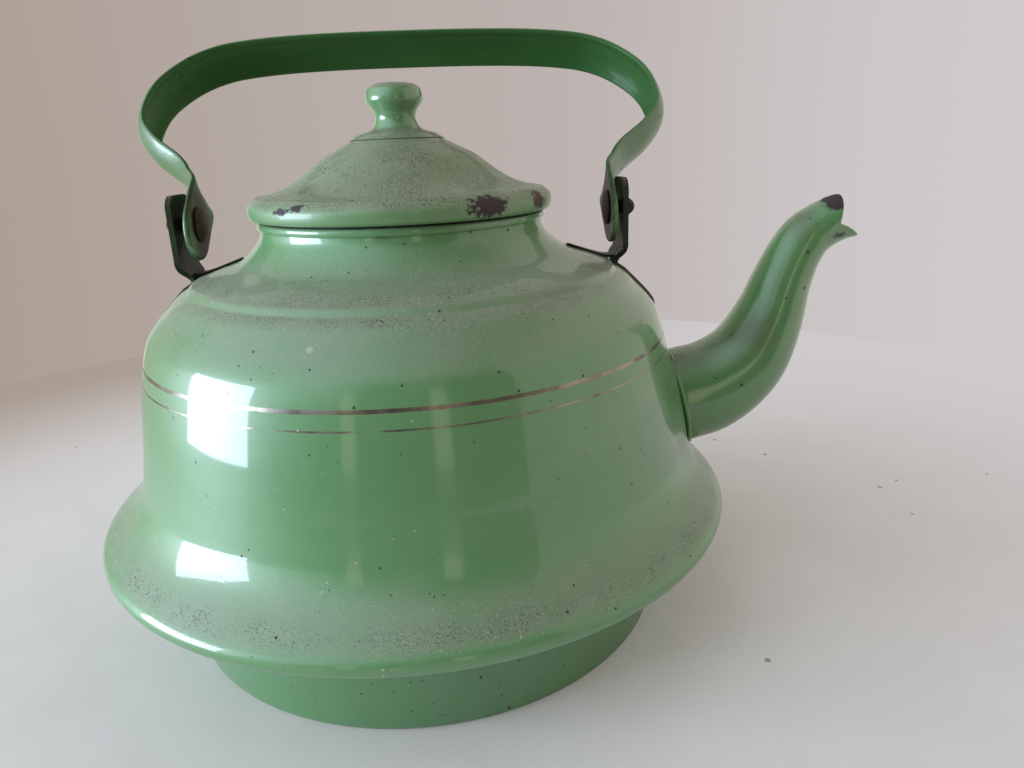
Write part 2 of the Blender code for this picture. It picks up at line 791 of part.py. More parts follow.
def pivot_rivet(name, side):
    """domed head inside the lobe, shank through lobe and ear, peened over outside"""
    lobe_face = LOBE_DISTANCE + side * BAIL_OFFSET - STRAP_SHEET / 2 - SEAT_GAP
    ear_face = EAR_DISTANCE + STRAP_SHEET / 2 + SEAT_GAP
    quarter = math.pi / 2
    head = arc((0, lobe_face), RIVET_HEAD_RADIUS, -RIVET_HEAD_HEIGHT, quarter, 0, 4)
    peen = arc((0, ear_face), RIVET_PEEN_RADIUS, RIVET_PEEN_HEIGHT, 0, quarter, 4)
    head[0] = (0, lobe_face - RIVET_HEAD_HEIGHT)
    peen[-1] = (0, ear_face + RIVET_PEEN_HEIGHT)
    shank = [(RIVET_SHANK_RADIUS, lobe_face), (RIVET_SHANK_RADIUS, ear_face)]
    made = turned(name, head + shank + peen, RIVET_FACETS, rivet_steel())
    made.location = (0, 0, PIVOT_HEIGHT)
    made.rotation_euler = (0, side * quarter, 0)
    return made


# Lid


def lid_shell():
    """domed pressing with a creased, rolled rim and a small vent under the knob"""
    dome = lid_dome_line()
    seat = (LID_DOME_RADIUS, LID_BASE)
    proud = LID_RADIUS - LID_DOME_RADIUS
    bead = [(seat[0] + a * proud, seat[1] + u * LID_RIM_HEIGHT) for a, u in LID_BEAD_SHARES]
    crease = (bead[0][0], bead[0][1] - LID_CREASE)
    bead = smooth_through(bead[1:], 2)
    lip_edge = BRIM_BORE - COLLAR_CLEARANCE + SEAT_GAP
    under = [(lip_edge, seat[1]), (lip_edge, seat[1] + LID_SHEET)]
    hollow = LID_RADIUS - LID_SHEET
    inside = [
        (hollow - a * LID_SHEET, seat[1] + u * LID_RIM_HEIGHT) for a, u in LID_LINING_SHARES
    ]
    lining = shifted(dome, LID_SHEET)
    lining = [(dome[0][0], dome[0][1] - LID_SHEET)] + thinned(lining, LINING_TOLERANCE)[1:]
    outline = thinned(dome, OUTLINE_TOLERANCE)[:-1] + [crease] + bead + under + inside
    outline += list(reversed(lining))
    return turned("lid_shell", outline, LID_FACETS, lid_enamel())


def lid_collar():
    """plain ring that drops into the neck, welded up against the dome"""
    outer = BRIM_BORE - COLLAR_CLEARANCE
    lining = shifted(lid_dome_line(), LID_SHEET + SEAT_GAP)
    bottom = BRIM_HEIGHT - COLLAR_DEPTH
    top = height_at(lining, outer)
    outline = [
        (outer, top),
        (outer, bottom + COLLAR_TAPER * 2),
        (outer - COLLAR_TAPER, bottom),
        (outer - COLLAR_SHEET - COLLAR_TAPER, bottom),
        (outer - COLLAR_SHEET, bottom + COLLAR_TAPER * 2),
        (outer - COLLAR_SHEET, top),
    ]
    return turned("lid_collar", outline, LID_FACETS, collar_enamel())


def lid_knob():
    """hollow mushroom knob pressed from sheet, flared out to a skirt that is welded to the dome"""
    dome = shifted(lid_dome_line(), -SEAT_GAP)
    base = height_at(dome, KNOB_SKIRT_RADIUS)
    flare = KNOB_SKIRT_RADIUS - KNOB_NECK_RADIUS
    points = [(KNOB_SKIRT_RADIUS, base)]
    points += [(KNOB_NECK_RADIUS + a * flare, base + u * KNOB_HEIGHT) for a, u in KNOB_BASE_SHARES]
    points += [(KNOB_NECK_RADIUS * a, base + u * KNOB_HEIGHT) for a, u in KNOB_STEM_SHARES]
    points += [(KNOB_RADIUS * a, base + u * KNOB_HEIGHT) for a, u in KNOB_CAP_SHARES]
    skin = thinned(smooth_through(points, 3), OUTLINE_TOLERANCE)
    inner_foot = KNOB_SKIRT_RADIUS - KNOB_SHEET
    lining = shifted(smooth_through(points, 3), -KNOB_SHEET)
    lining = [p for p in lining if p[0] < inner_foot and p[1] > base + KNOB_SHEET]
    lining = thinned(lining, LINING_TOLERANCE)
    lining[-1] = (0, base + KNOB_HEIGHT - KNOB_SHEET)
    foot = [(inner_foot, height_at(dome, inner_foot))]
    outline = list(reversed(skin)) + foot + lining
    outline = [(max(r, 0), h) for r, h in outline]
    return turned("lid_knob", outline, KNOB_FACETS, knob_enamel())


def build():
    clear_scene()
    body_shell()
    base_pan()
    spout()
    ear("rear_ear", -1)
    ear("front_ear", 1)
    bail_handle()
    pivot_rivet("rear_pivot_rivet", -1)
    pivot_rivet("front_pivot_rivet", 1)
    lid_shell()
    lid_collar()
    lid_knob()


build()
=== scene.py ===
"""Finish, light and camera for the green enamelled stove kettle.

Every visible sub-part is made again here with fine, rounded sheet in place of
the plain solid, in the same frame and from the same sizes, and gets its worn
and dusty enamel. Sizes are in metres."""

import math

import bmesh
import bpy
from mathutils import Matrix, Vector, noise


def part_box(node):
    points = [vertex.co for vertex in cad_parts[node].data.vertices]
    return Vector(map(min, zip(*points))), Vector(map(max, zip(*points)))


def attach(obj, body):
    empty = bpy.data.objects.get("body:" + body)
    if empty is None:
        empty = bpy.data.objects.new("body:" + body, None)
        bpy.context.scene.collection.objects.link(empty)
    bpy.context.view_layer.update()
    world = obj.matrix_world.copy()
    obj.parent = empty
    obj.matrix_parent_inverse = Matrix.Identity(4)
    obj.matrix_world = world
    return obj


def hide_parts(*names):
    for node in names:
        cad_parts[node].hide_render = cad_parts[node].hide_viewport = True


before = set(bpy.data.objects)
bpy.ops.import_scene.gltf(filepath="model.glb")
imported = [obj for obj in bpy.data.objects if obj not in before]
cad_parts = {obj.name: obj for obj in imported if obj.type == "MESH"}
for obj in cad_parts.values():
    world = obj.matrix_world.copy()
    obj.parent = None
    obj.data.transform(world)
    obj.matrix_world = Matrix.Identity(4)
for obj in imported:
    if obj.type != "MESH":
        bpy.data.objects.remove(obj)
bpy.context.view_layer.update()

# Main sizes, taken from the solid model. The smoothed outline swells a hair past its
# widest point, so the flange is drawn a hair smaller
BODY_LOW, BODY_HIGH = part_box("body_shell")
LID_LOW, LID_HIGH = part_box("lid_shell")
PIVOT_LOW, PIVOT_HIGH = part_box("front_pivot_rivet")
FLANGE_SWELL = 0.00003
FLANGE_RADIUS = -BODY_LOW.x - FLANGE_SWELL
LIP_HEIGHT = BODY_LOW.z
BRIM_HEIGHT = BODY_HIGH.z
LID_RADIUS = LID_HIGH.y
LID_BASE = LID_LOW.z
PIVOT_HEIGHT = (PIVOT_LOW.z + PIVOT_HIGH.z) / 2

# Sheet and running clearances
BODY_SHEET = 0.0012
LID_SHEET = 0.0011
SPOUT_SHEET = 0.0012
COLLAR_SHEET = 0.0010
KNOB_SHEET = 0.0010
STRAP_SHEET = 0.0018
SEAT_GAP = 0.0003

# Body shell, measured from the flange, the lip and the brim
LIP_TUCK = 0.0019
LIP_WIDTH = 0.0046
FLANGE_RISE = 0.0039
FLANGE_WIDTH = 0.0151
FLARE_RISE = 0.0201
WALL_SPREAD = 0.00655
WALL_RISE = 0.0389
SHOULDER_WIDTH = 0.01595
SHOULDER_RISE = 0.0204
STEP_WIDTH = 0.0034
STEP_DROP = 0.0026
LEDGE_WIDTH = 0.0215
BRIM_BAND = 0.0045
BRIM_WIDTH = 0.0021
BRIM_DEPTH = 0.0030
BRIM_ROLL_ANGLE = math.radians(50)
GROOVE_RISE = 0.0017
GROOVE_FALL = 0.0002
GROOVE_FLARE = 0.00025

# Swage that draws the wall out under the spout
SWAGE_RISE = 0.0038
SWAGE_ABOVE = 0.0330
SWAGE_BELOW = 0.0240
SWAGE_PLATEAU = 0.0120
SWAGE_SPREAD = 0.0220

# Base pan
BASE_SETBACK = 0.0220
FOOT_TAPER = 0.0027
FOOT_CORNER = 0.0018
FOOT_TOP_CORNER = 0.0032

# Lid, its collar and knob
LID_BEAD_WIDTH = 0.0042
LID_RIM_HEIGHT = 0.0060
LID_DOME_RISE = 0.0169
LID_CREASE = 0.0005
LID_VENT_RADIUS = 0.0030
COLLAR_DEPTH = 0.0085
COLLAR_CLEARANCE = 0.0009
COLLAR_TAPER = 0.0006
KNOB_SKIRT_RADIUS = 0.0160
KNOB_NECK_RADIUS = 0.0067
KNOB_RADIUS = 0.0095
KNOB_HEIGHT = 0.0180
SKIRT_RUNOUT = 0.0012

# Spout, measured from the wall at the waist
SPOUT_LENGTH = 0.0619
SPOUT_RISE = 0.0678
SPOUT_ROOT_RISE = 0.0050
SPOUT_ROOT_RADIUS = 0.0178
SPOUT_MOUTH_RADIUS = 0.0079
SPOUT_NOTCH_DEPTH = 0.0062
SPOUT_HOOD_REACH = 0.0037
SPOUT_BEAK_REACH = 0.0080
SPOUT_BEAK_DIP = 0.0007
SPOUT_BEAK_POWER = 0.85
SPOUT_CREASE = 0.0007
SPOUT_CREASE_PLACE = 0.18
SPOUT_CREASE_SPREAD = 0.02
FLOW_HOLE_REACH = 0.0160
WELD_RADIUS = 0.0008
WELD_UNEVENNESS = 0.12
WELD_UNEVEN_SCALE = 300

# Ears on the shoulder
EAR_OFFSET = 0.0028
EAR_WIDTH = 0.0185
EAR_RISE = 0.0100
EAR_DROP = 0.0125
EAR_CORNER = 0.0048
EAR_JOGGLE = 0.0024
LEAF_DROP = 0.0161
LEAF_WIDTH = 0.0096
LEAF_SHEET = 0.0010
INNER_LEAF_SHEET = 0.0009
INNER_LEAF_WIDTH = 0.0080
INNER_LEAF_TIP_WIDTH = 0.0020
INNER_LEAF_REACH = 0.0130
LEAF_BED = 0.00015

# Bail handle and its rivets
BAIL_LEAN = math.radians(46.4)
BAIL_WIDTH = 0.0173
BAIL_CROWN_ANGLE = math.radians(85)
BAIL_FLAT_ANGLE = math.radians(2)
BAIL_RISE = 0.0862
BAIL_SPREAD = 0.0227
BAIL_EAR_GAP = 0.0029
BAIL_OFFSET = 0.0008
LOBE_WIDTH = 0.0196
LOBE_DROP = 0.0122
LOBE_TIP_WIDTH = 0.0050
LOBE_ROLL_RISE = 0.0240
RIVET_SHANK_RADIUS = 0.0024
RIVET_CLEARANCE = 0.0003
RIVET_HEAD_RADIUS = 0.0060
RIVET_HEAD_HEIGHT = 0.0014
RIVET_PEEN_RADIUS = 0.00315
RIVET_PEEN_HEIGHT = 0.0036

# Places that several pieces share
LIP_RADIUS = FLANGE_RADIUS - LIP_TUCK
WAIST_RADIUS = FLANGE_RADIUS - FLANGE_WIDTH
SHOULDER_RADIUS = WAIST_RADIUS - WALL_SPREAD
STEP_RADIUS = SHOULDER_RADIUS - SHOULDER_WIDTH
LEDGE_RADIUS = STEP_RADIUS - STEP_WIDTH
NECK_RADIUS = LEDGE_RADIUS - LEDGE_WIDTH
FLANGE_HEIGHT = LIP_HEIGHT + FLANGE_RISE
WAIST_HEIGHT = FLANGE_HEIGHT + FLARE_RISE
SHOULDER_HEIGHT = WAIST_HEIGHT + WALL_RISE
STEP_HEIGHT = SHOULDER_HEIGHT + SHOULDER_RISE
LEDGE_HEIGHT = STEP_HEIGHT + STEP_DROP
NECK_HEIGHT = BRIM_HEIGHT - BRIM_BAND
BRIM_BORE = NECK_RADIUS - BODY_SHEET
FOOT_TOP_RADIUS = FLANGE_RADIUS - BASE_SETBACK
FOOT_RADIUS = FOOT_TOP_RADIUS - FOOT_TAPER - FOOT_CORNER
LID_DOME_RADIUS = LID_RADIUS - LID_BEAD_WIDTH
SPOUT_ROOT_HEIGHT = WAIST_HEIGHT + SPOUT_ROOT_RISE
EAR_DISTANCE = STEP_RADIUS + EAR_OFFSET
LOBE_DISTANCE = EAR_DISTANCE - STRAP_SHEET - BAIL_EAR_GAP

# Shares of the sizes above, across and down, chosen from the outline
NECK_SWEEP_SHARES = (
    (0.06, 0.166),
    (0.18, 0.39),
    (0.35, 0.62),
    (0.48, 0.72),
    (0.69, 0.825),
    (1, 1),
)
STEP_SHARES = ((0.45, 0.22), (0.78, 0.62), (1, 1))
SHOULDER_SHARES = (
    (0.08, 0.035),
    (0.25, 0.13),
    (0.45, 0.292),
    (0.66, 0.46),
    (0.84, 0.645),
    (0.935, 0.82),
    (1, 1),
)
WALL_SHARES = ((0.22, 0.18), (0.42, 0.365), (0.57, 0.55), (0.75, 0.77), (1, 1))
FLARE_SHARES = (
    (0.06, 0.15),
    (0.18, 0.325),
    (0.33, 0.48),
    (0.51, 0.62),
    (0.69, 0.74),
    (0.84, 0.845),
    (0.947, 0.92),
    (1, 1),
)
LIP_SHARES = ((0.10, 0.45), (0.50, 0.80))
LID_BEAD_SHARES = (
    (0, 1.233),
    (0.31, 1.18),
    (0.72, 0.97),
    (0.965, 0.73),
    (1, 0.43),
    (0.90, 0.12),
    (0.62, 0),
)
LID_DOME_SHARES = (
    (0.065, 1),
    (0.24, 0.978),
    (0.353, 0.912),
    (0.43, 0.809),
    (0.533, 0.672),
    (0.628, 0.482),
    (0.72, 0.291),
    (0.824, 0.129),
    (0.94, 0.022),
    (1, 0),
)
LID_LINING_SHARES = ((1, 0.18), (0, 0.43), (0.5, 0.80))
KNOB_BASE_SHARES = ((0.93, 0.035), (0.66, 0.12), (0.34, 0.168), (0.13, 0.225))
KNOB_STEM_SHARES = ((1, 0.37), (1.06, 0.50))
KNOB_CAP_SHARES = (
    (0.84, 0.57),
    (0.97, 0.66),
    (1, 0.73),
    (0.96, 0.82),
    (0.87, 0.91),
    (0.68, 0.97),
    (0.35, 1),
    (0, 1),
)
SPOUT_PATH_SHARES = (
    (-0.211, 0),
    (0.0475, 0.052),
    (0.222, 0.093),
    (0.377, 0.183),
    (0.484, 0.301),
    (0.576, 0.488),
    (0.628, 0.646),
    (0.690, 0.790),
    (0.755, 0.8835),
    (0.833, 0.9395),
    (0.924, 0.981),
    (1, 1),
)
SPOUT_SWELL_SHARES = (1, 0.98, 0.94, 0.82, 0.68, 0.45, 0.28, 0.17, 0.11, 0.05, 0.02, 0)
SPOUT_MOUTH_SHARE = 0.25
SPOUT_BEAK_SHARE = 0.80
SPOUT_PINCH_SHARE = 0.16
EAR_JOGGLE_SHARES = ((0.80, 0.25), (0.15, 0.52), (0.05, 0.78))
EAR_FOOT_SHARES = (0.92, 0.757, 0.54)
LEAF_WIDTH_SHARES = ((0, 0.54), (0.15, 0.84), (0.38, 1), (0.65, 0.86), (0.86, 0.56), (1, 0.2))
BAIL_PATH_SHARES = (
    (0.09, 0.188),
    (0.20, 0.243),
    (0.37, 0.300),
    (0.72, 0.392),
    (0.97, 0.500),
    (0.98, 0.625),
    (0.83, 0.745),
)
BAIL_BOW_SHARES = ((0.87, 0.860), (0.767, 0.930), (0.652, 0.964), (0.475, 0.987), (0.24, 0.998))

# Fineness of the meshes
BODY_FACETS = 168
LID_FACETS = 132
KNOB_FACETS = 72
SPOUT_FACETS = 72
RIVET_FACETS = 36
WELD_FACETS = 10
FLOOR_FACETS = 96
SHEET_COLUMNS = 13
OUTLINE_STEPS = 8
BRIM_STEPS = 18
CORNER_STEPS = 10
INNER_HEEL_STEPS = 4
INNER_KNEE_STEPS = 8
SPOUT_STEPS = 5
BORE_STEPS = 2
WELD_STEPS = 16
SHEET_STEPS = 3
EAR_CORNER_STEPS = 8
EAR_STEPS = 10
LOBE_STEPS = 12
BAIL_ARC_STEPS = 14
BAIL_EDGE_STEPS = 6
RIM_LINING_STEPS = 5
KNOB_LINING_STEPS = 3
EDGE_ROUND = 0.00045
FINE_TOLERANCE = 0.00002
LEAF_TOLERANCE = 0.00008
LINING_TOLERANCE = 0.0002
MERGE_DISTANCE = 0.000001
SHARP_ANGLE = math.radians(38)

# Unevenness of beaten rivets and pressed sheet
HAMMER_DEPTH = 0.00035
HAMMER_SCALE = 420
RIPPLE_DEPTH = 0.00005
RIPPLE_SCALE = 75

# Camera: where it stands and how it is turned
CAMERA_PLACE = (0.02256, -0.26315, 0.16180)
CAMERA_YAW = math.radians(2.7027)
CAMERA_PITCH = math.radians(17.7845)
CAMERA_ROLL = math.radians(-2.2146)
CAMERA_LENS = 26.19
CAMERA_SENSOR = 36
CAMERA_NEAREST = 0.01

# Studio: the window, two light door openings, the right wall, the sky and the floor
WINDOW_AZIMUTH = math.radians(-102.5)
WINDOW_DISTANCE = 1.5
WINDOW_WIDTH = 0.84
WINDOW_SILL = -0.16
WINDOW_HEIGHT = 0.70
WINDOW_POWER = 29
DOOR_STREAKS = ((math.radians(-157), math.radians(3.5)), (math.radians(167), math.radians(4.5)))
DOOR_MIDDLE = 0.12
DOOR_REACH = (0.18, 0.34)
WALL_TURN = 0.85
SKY_AZIMUTH = math.radians(-115)
SKY_ELEVATION = math.radians(42)
FLOOR_RADIUS = 0.46
FLOOR_FADE_START = 0.18
FLOOR_FADE_END = 0.44
FLOOR_LIFT = 0.10

# Colours, red green blue in straight light, and pairs of them for glaze full and thin
GREEN = (0.110, 0.284, 0.100)
LIGHT_GREEN = (0.146, 0.332, 0.138)
DEEP_GREEN = (0.075, 0.205, 0.085)
# The base's greens are darkened as painted shade under the flange
BASE_SHADE_GREENS = ((0.108, 0.262, 0.102), (0.128, 0.295, 0.125))
SPOUT_GREENS = ((0.108, 0.272, 0.090), (0.132, 0.306, 0.116))
BAIL_GREENS = ((0.088, 0.192, 0.073), (0.110, 0.222, 0.095))
# The bow's hollow greens are darkened as painted shade
BAIL_HOLLOW_SHADE_GREENS = ((0.034, 0.118, 0.027), (0.048, 0.148, 0.040))
LID_GREENS = ((0.150, 0.302, 0.122), (0.172, 0.334, 0.148))
KNOB_GREENS = ((0.130, 0.285, 0.115), (0.150, 0.315, 0.140))
EAR_BLACKS = ((0.011, 0.017, 0.008), (0.036, 0.056, 0.026))
LEAF_OLIVE = (0.115, 0.135, 0.085)
DUST = (0.31, 0.295, 0.25)
PALE_DUST = (0.46, 0.48, 0.34)
LID_DUST = (0.27, 0.255, 0.185)
KNOB_DUST = (0.24, 0.21, 0.15)
LEAF_DIRT = (0.105, 0.064, 0.048)
BROWN = (0.075, 0.036, 0.022)
DARK_BROWN = (0.028, 0.014, 0.012)
OLIVE_BROWN = (0.12, 0.10, 0.045)
WARM_BROWN = (0.12, 0.09, 0.05)
# Near black of the lobes: old grease, darkened further as painted shade
GREASE_AND_SHADE = (0.034, 0.019, 0.012)
RUST_SPECK = (0.050, 0.034, 0.024)
PURPLE_BLACK = (0.040, 0.017, 0.023)
BLUE_BLACK = (0.03, 0.02, 0.035)
GILT = (0.38, 0.34, 0.29)
TARNISH = (0.12, 0.095, 0.07)
STEEL = (0.10, 0.060, 0.048)
RUST_BLACK = (0.038, 0.020, 0.016)
FLOOR_PALE = (0.75, 0.70, 0.69)
FLOOR_WORN = (0.79, 0.75, 0.74)
FLOOR_CRUMB = (0.30, 0.27, 0.25)
BACKDROP_LEFT = (0.40, 0.335, 0.285)
BACKDROP_MIDDLE = (0.49, 0.43, 0.41)
BACKDROP_RIGHT = (0.62, 0.59, 0.60)
WINDOW_LIGHT = (0.70, 0.83, 1.0)
SKY_LIGHT = (1.15, 1.35, 1.50)
DOOR_LIGHT = (1.60, 1.40, 1.05)
ROOM_DARK = (0.030, 0.026, 0.020)
ROOM_BEHIND = (0.42, 0.35, 0.28)
ROOM_OVERHEAD = (0.29, 0.26, 0.22)
ROOM_RIGHT = (0.78, 0.73, 0.67)

# How strongly the finishes mirror the room
GLAZE_SHINE = 0.75
GREASY_SHINE = 0.15
FLOOR_SHINE = 0.15
COAT_ROUGHNESS = 0.06
ENAMEL_IOR = 1.52
GILT_METAL = 0.9

# Unevenness within the shared effects
FINE_DRIFT = 0.35
PEEL_DEPTH = 0.10
DUST_PATCHINESS = 0.5
GRAIN_SHAKE = 0.006
GRAIN_LEAST = 0.10
GRAIN_SPREAD = 0.22
PATCH_RIM = 1.35
CHIP_RIM = 0.35
CHIP_SOFTNESS = 0.08
RING_WANDER = 0.0004

# Gilt rings on the wall: height, half width, wear, scale of the wear, strength
GILT_RINGS = (
    (SHOULDER_HEIGHT, 0.00056, 0.33, 45.0, 1.0),
    (SHOULDER_HEIGHT - 0.0049, 0.00027, 0.40, 60.0, 0.9),
)

# Half widths of the painted shade lines in the joints
BRIM_SHADE_LINE = 0.0003
LID_SHADE_LINE = 0.0002
KNOB_SHADE_LINE = 0.00016
KNOB_SHADE_LINE_RISE = 0.0005

# Heights between which the body's dust and the tone of the ears' leaves come in or fade out
BEAD_DUST_EDGE = (FLANGE_HEIGHT + 0.0012, FLANGE_HEIGHT + 0.0036)
NECK_DUST_EDGE = (LEDGE_HEIGHT + 0.0015, LEDGE_HEIGHT + 0.0110)
LEAF_TONE_EDGE = (STEP_HEIGHT - 0.001, STEP_HEIGHT + 0.003)

# Where grains gather on the body: height and reach up and down, and how many lie elsewhere
DUST_BANDS = (
    (LEDGE_HEIGHT + 0.0008, 0.0022),
    (STEP_HEIGHT - 0.0012, 0.0026),
    (FLANGE_HEIGHT + 0.0050, 0.0042),
)
DUST_GATHER_LEAST = 0.12

# Stains: place, reach each way, colour and strength, and for some how ragged, fine and soft
BODY_STAINS = (
    ((0.0633, -0.0268, 0.1233), (0.007, 0.007, 0.004), BROWN, 0.75),
    ((-0.0640, -0.0230, 0.1235), (0.009, 0.008, 0.004), BROWN, 0.8),
    ((-0.0025, -0.0478, 0.1381), (0.004, 0.004, 0.0012), BROWN, 0.5),
    ((0.0227, -0.0421, 0.1380), (0.0007, 0.0007, 0.0007), DARK_BROWN, 0.9, 0.6, 700.0, 0.3),
    ((0.0340, -0.0334, 0.1372), (0.0006, 0.0006, 0.0006), DARK_BROWN, 0.9, 0.6, 700.0, 0.3),
    ((0.050, -0.055, 0.1215), (0.020, 0.018, 0.005), BROWN, 0.40, 1.6, 260.0),
)
DUST_CLOT = ((-0.0199, -0.0776, 0.1141), (0.0012, 0.0012, 0.0009), PALE_DUST, 0.9, 1.8, 900.0, 0.4)
SPOUT_STAINS = (
    ((0.118, -0.010, 0.094), (0.020, 0.012, 0.014), OLIVE_BROWN, 0.55),
    ((0.138, -0.004, 0.130), (0.008, 0.008, 0.010), WARM_BROWN, 0.5),
)
BEAK_STAIN = ((0.1513, -0.0070, 0.1276), (0.0026, 0.0040, 0.0012), DARK_BROWN, 0.9, 4.0, 900.0, 0.3)
LID_STAIN = ((-0.0261, -0.0274, 0.1511), (0.006, 0.005, 0.003), BROWN, 0.35)
# Reach of the grease and painted shade round each pivot
LOBE_GREASE_AND_SHADE_REACH = (0.006, 0.0125, 0.0170)

# Chips: place, reach each way, colour, and how ragged and fine
MOUTH_CHIP = ((0.1502, -0.0037, 0.1392), (0.0040, 0.0065, 0.0030), PURPLE_BLACK, 1.6, 420.0)
LID_CHIPS = (
    ((0.0286, -0.0417, 0.1450), (0.0068, 0.0052, 0.0030), PURPLE_BLACK, 3.0, 420.0),
    ((0.0446, -0.0240, 0.1455), (0.0027, 0.0035, 0.0033), BROWN, 2.4, 480.0),
    ((-0.0322, -0.0391, 0.1457), (0.0036, 0.0026, 0.0009), BLUE_BLACK, 3.0, 620.0),
    ((-0.0268, -0.0419, 0.1468), (0.0023, 0.0018, 0.0012), PURPLE_BLACK, 2.6, 620.0),
)


# Points on curves and outlines


def between(start, end, shares):
    """places between two corner points, each a share across and a share up or down"""
    return [
        (start[0] + across * (end[0] - start[0]), start[1] + along * (end[1] - start[1]))
        for across, along in shares
    ]


def rounded_value(before, here, after, beyond, t):
    """one number on the rounded line, a share t of the way from here to after"""
    slope = after - before
    bend = 2 * before - 5 * here + 4 * after - beyond
    twist = 3 * here - before - 3 * after + beyond
    return 0.5 * (2 * here + slope * t + bend * t**2 + twist * t**3)


def smooth_through(points, steps):
    """a rounded line through the points, in equal steps between neighbours"""
    ends = [points[0]] + list(points) + [points[-1]]
    line = [points[0]]
    for i in range(1, len(ends) - 2):
        near = list(zip(*ends[i - 1 : i + 3]))
        for step in range(1, steps + 1):
            line.append(tuple(rounded_value(*values, step / steps) for values in near))
    return line


def arc(centre, across, upward, start, stop, steps):
    """points on part of an oval, from one angle to another"""
    turn = (stop - start) / steps
    return [
        (
            centre[0] + across * math.cos(start + turn * i),
            centre[1] + upward * math.sin(start + turn * i),
        )
        for i in range(steps + 1)
    ]


def thinned(points, tolerance):
    """the same line with the points left out that lie almost straight between their neighbours"""
    if len(points) < 3:
        return list(points)
    first, last = Vector(points[0]), Vector(points[-1])
    chord = last - first
    worst, place = 0, 0
    for i in range(1, len(points) - 1):
        offset = Vector(points[i]) - first
        share = offset.dot(chord) / chord.length_squared if chord.length else 0
        away = (offset - min(max(share, 0), 1) * chord).length
        if away > worst:
            worst, place = away, i
    if worst <= tolerance:
        return [points[0], points[-1]]
    return thinned(points[: place + 1], tolerance)[:-1] + thinned(points[place:], tolerance)


def shifted(points, distance):
    """the line moved sideways, to the right of the way it runs"""
    moved = []
    for i, point in enumerate(points):
        ahead = Vector(points[min(i + 1, len(points) - 1)])
        behind = Vector(points[max(i - 1, 0)])
        way = (ahead - behind).normalized()
        moved.append((point[0] + way[1] * distance, point[1] - way[0] * distance))
    return moved


def height_at(line, radius):
    """height of a falling outline where it passes a radius"""
    for (r0, h0), (r1, h1) in zip(line, line[1:]):
        if min(r0, r1) <= radius <= max(r0, r1) and r0 != r1:
            return h0 + (h1 - h0) * (radius - r0) / (r1 - r0)
    return line[-1][1]


def radius_at(line, height):
    """radius of the outline where it passes a height"""
    for (r0, h0), (r1, h1) in zip(line, line[1:]):
        if min(h0, h1) <= height <= max(h0, h1) and h0 != h1:
            return r0 + (r1 - r0) * (height - h0) / (h1 - h0)
    return line[-1][0]


# Meshes


def add_object(name, bm):
    """an object in the scene from a mesh under work"""
    bmesh.ops.recalc_face_normals(bm, faces=bm.faces)
    mesh = bpy.data.meshes.new(name)
    bm.to_mesh(mesh)
    bm.free()
    made = bpy.data.objects.new(name, mesh)
    bpy.context.scene.collection.objects.link(made)
    return made


def spun(name, outline, facets):
    """a closed outline in the X-Z plane turned once round Z"""
    bm = bmesh.new()
    verts = [bm.verts.new((r, 0, h)) for r, h in outline]
    edges = [bm.edges.new(pair) for pair in zip(verts, verts[1:])]
    if outline[0][0] > 0 or outline[-1][0] > 0:
        edges.append(bm.edges.new((verts[-1], verts[0])))
    bmesh.ops.spin(
        bm,
        geom=verts + edges,
        cent=(0, 0, 0),
        axis=(0, 0, 1),
        angle=math.tau,
        steps=facets,
        use_duplicate=False,
    )
    bmesh.ops.remove_doubles(bm, verts=bm.verts, dist=MERGE_DISTANCE)
    return add_object(name, bm)


def tube_mesh(rings, ends_joined=False):
    """a skin over rings of equal length, capped, or joined end to end for a hollow wall"""
    bm = bmesh.new()
    rows = [[bm.verts.new(place) for place in ring] for ring in rings]
    count = len(rows[0])
    pairs = list(zip(rows, rows[1:]))
    if ends_joined:
        pairs.append((rows[-1], rows[0]))
    for low, high in pairs:
        for i in range(count):
            j = (i + 1) % count
            bm.faces.new((low[i], low[j], high[j], high[i]))
    if not ends_joined:
        bm.faces.new(list(reversed(rows[0])))
        bm.faces.new(rows[-1])
    return bm


def settle_changes(piece):
    """makes the piece's modifiers part of its mesh"""
    graph = bpy.context.evaluated_depsgraph_get()
    mesh = bpy.data.meshes.new_from_object(piece.evaluated_get(graph))
    piece.modifiers.clear()
    piece.data = mesh


def cut_away(piece, tools, operation="DIFFERENCE"):
    """takes solids out of a piece, or joins them to it, and drops them"""
    for tool in tools:
        change = piece.modifiers.new("cut", "BOOLEAN")
        change.operation = operation
        change.solver = "EXACT"
        change.object = tool
    settle_changes(piece)
    for tool in tools:
        bpy.data.objects.remove(tool, do_unlink=True)


def soften_edges(piece, width, segments=3):
    """rounds every sharp edge of a piece"""
    change = piece.modifiers.new("rounding", "BEVEL")
    change.width = width
    change.segments = segments
    change.limit_method = "ANGLE"
    change.angle_limit = SHARP_ANGLE
    settle_changes(piece)


def even_normals(piece):
    """keeps flat faces flat right up to their rounded edges"""
    change = piece.modifiers.new("flat_faces", "WEIGHTED_NORMAL")
    change.keep_sharp = True
    settle_changes(piece)


def move_points(piece, rule):
    """moves every point of a piece to where the rule puts it"""
    for vert in piece.data.vertices:
        vert.co = rule(vert.co.copy())


def finish_piece(piece, body, slot, materials, *nodes):
    """smooth shading, materials, and the body and nodes that the piece goes with"""
    piece.data.shade_smooth()
    piece.data.set_sharp_from_angle(angle=SHARP_ANGLE)
    if not piece.data.materials:
        for material in materials:
            piece.data.materials.append(material)
    else:
        for place, material in enumerate(materials):
            piece.data.materials[place] = material
    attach(piece, body)
    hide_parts(*nodes)
    return piece


# Outlines that more than one piece follows


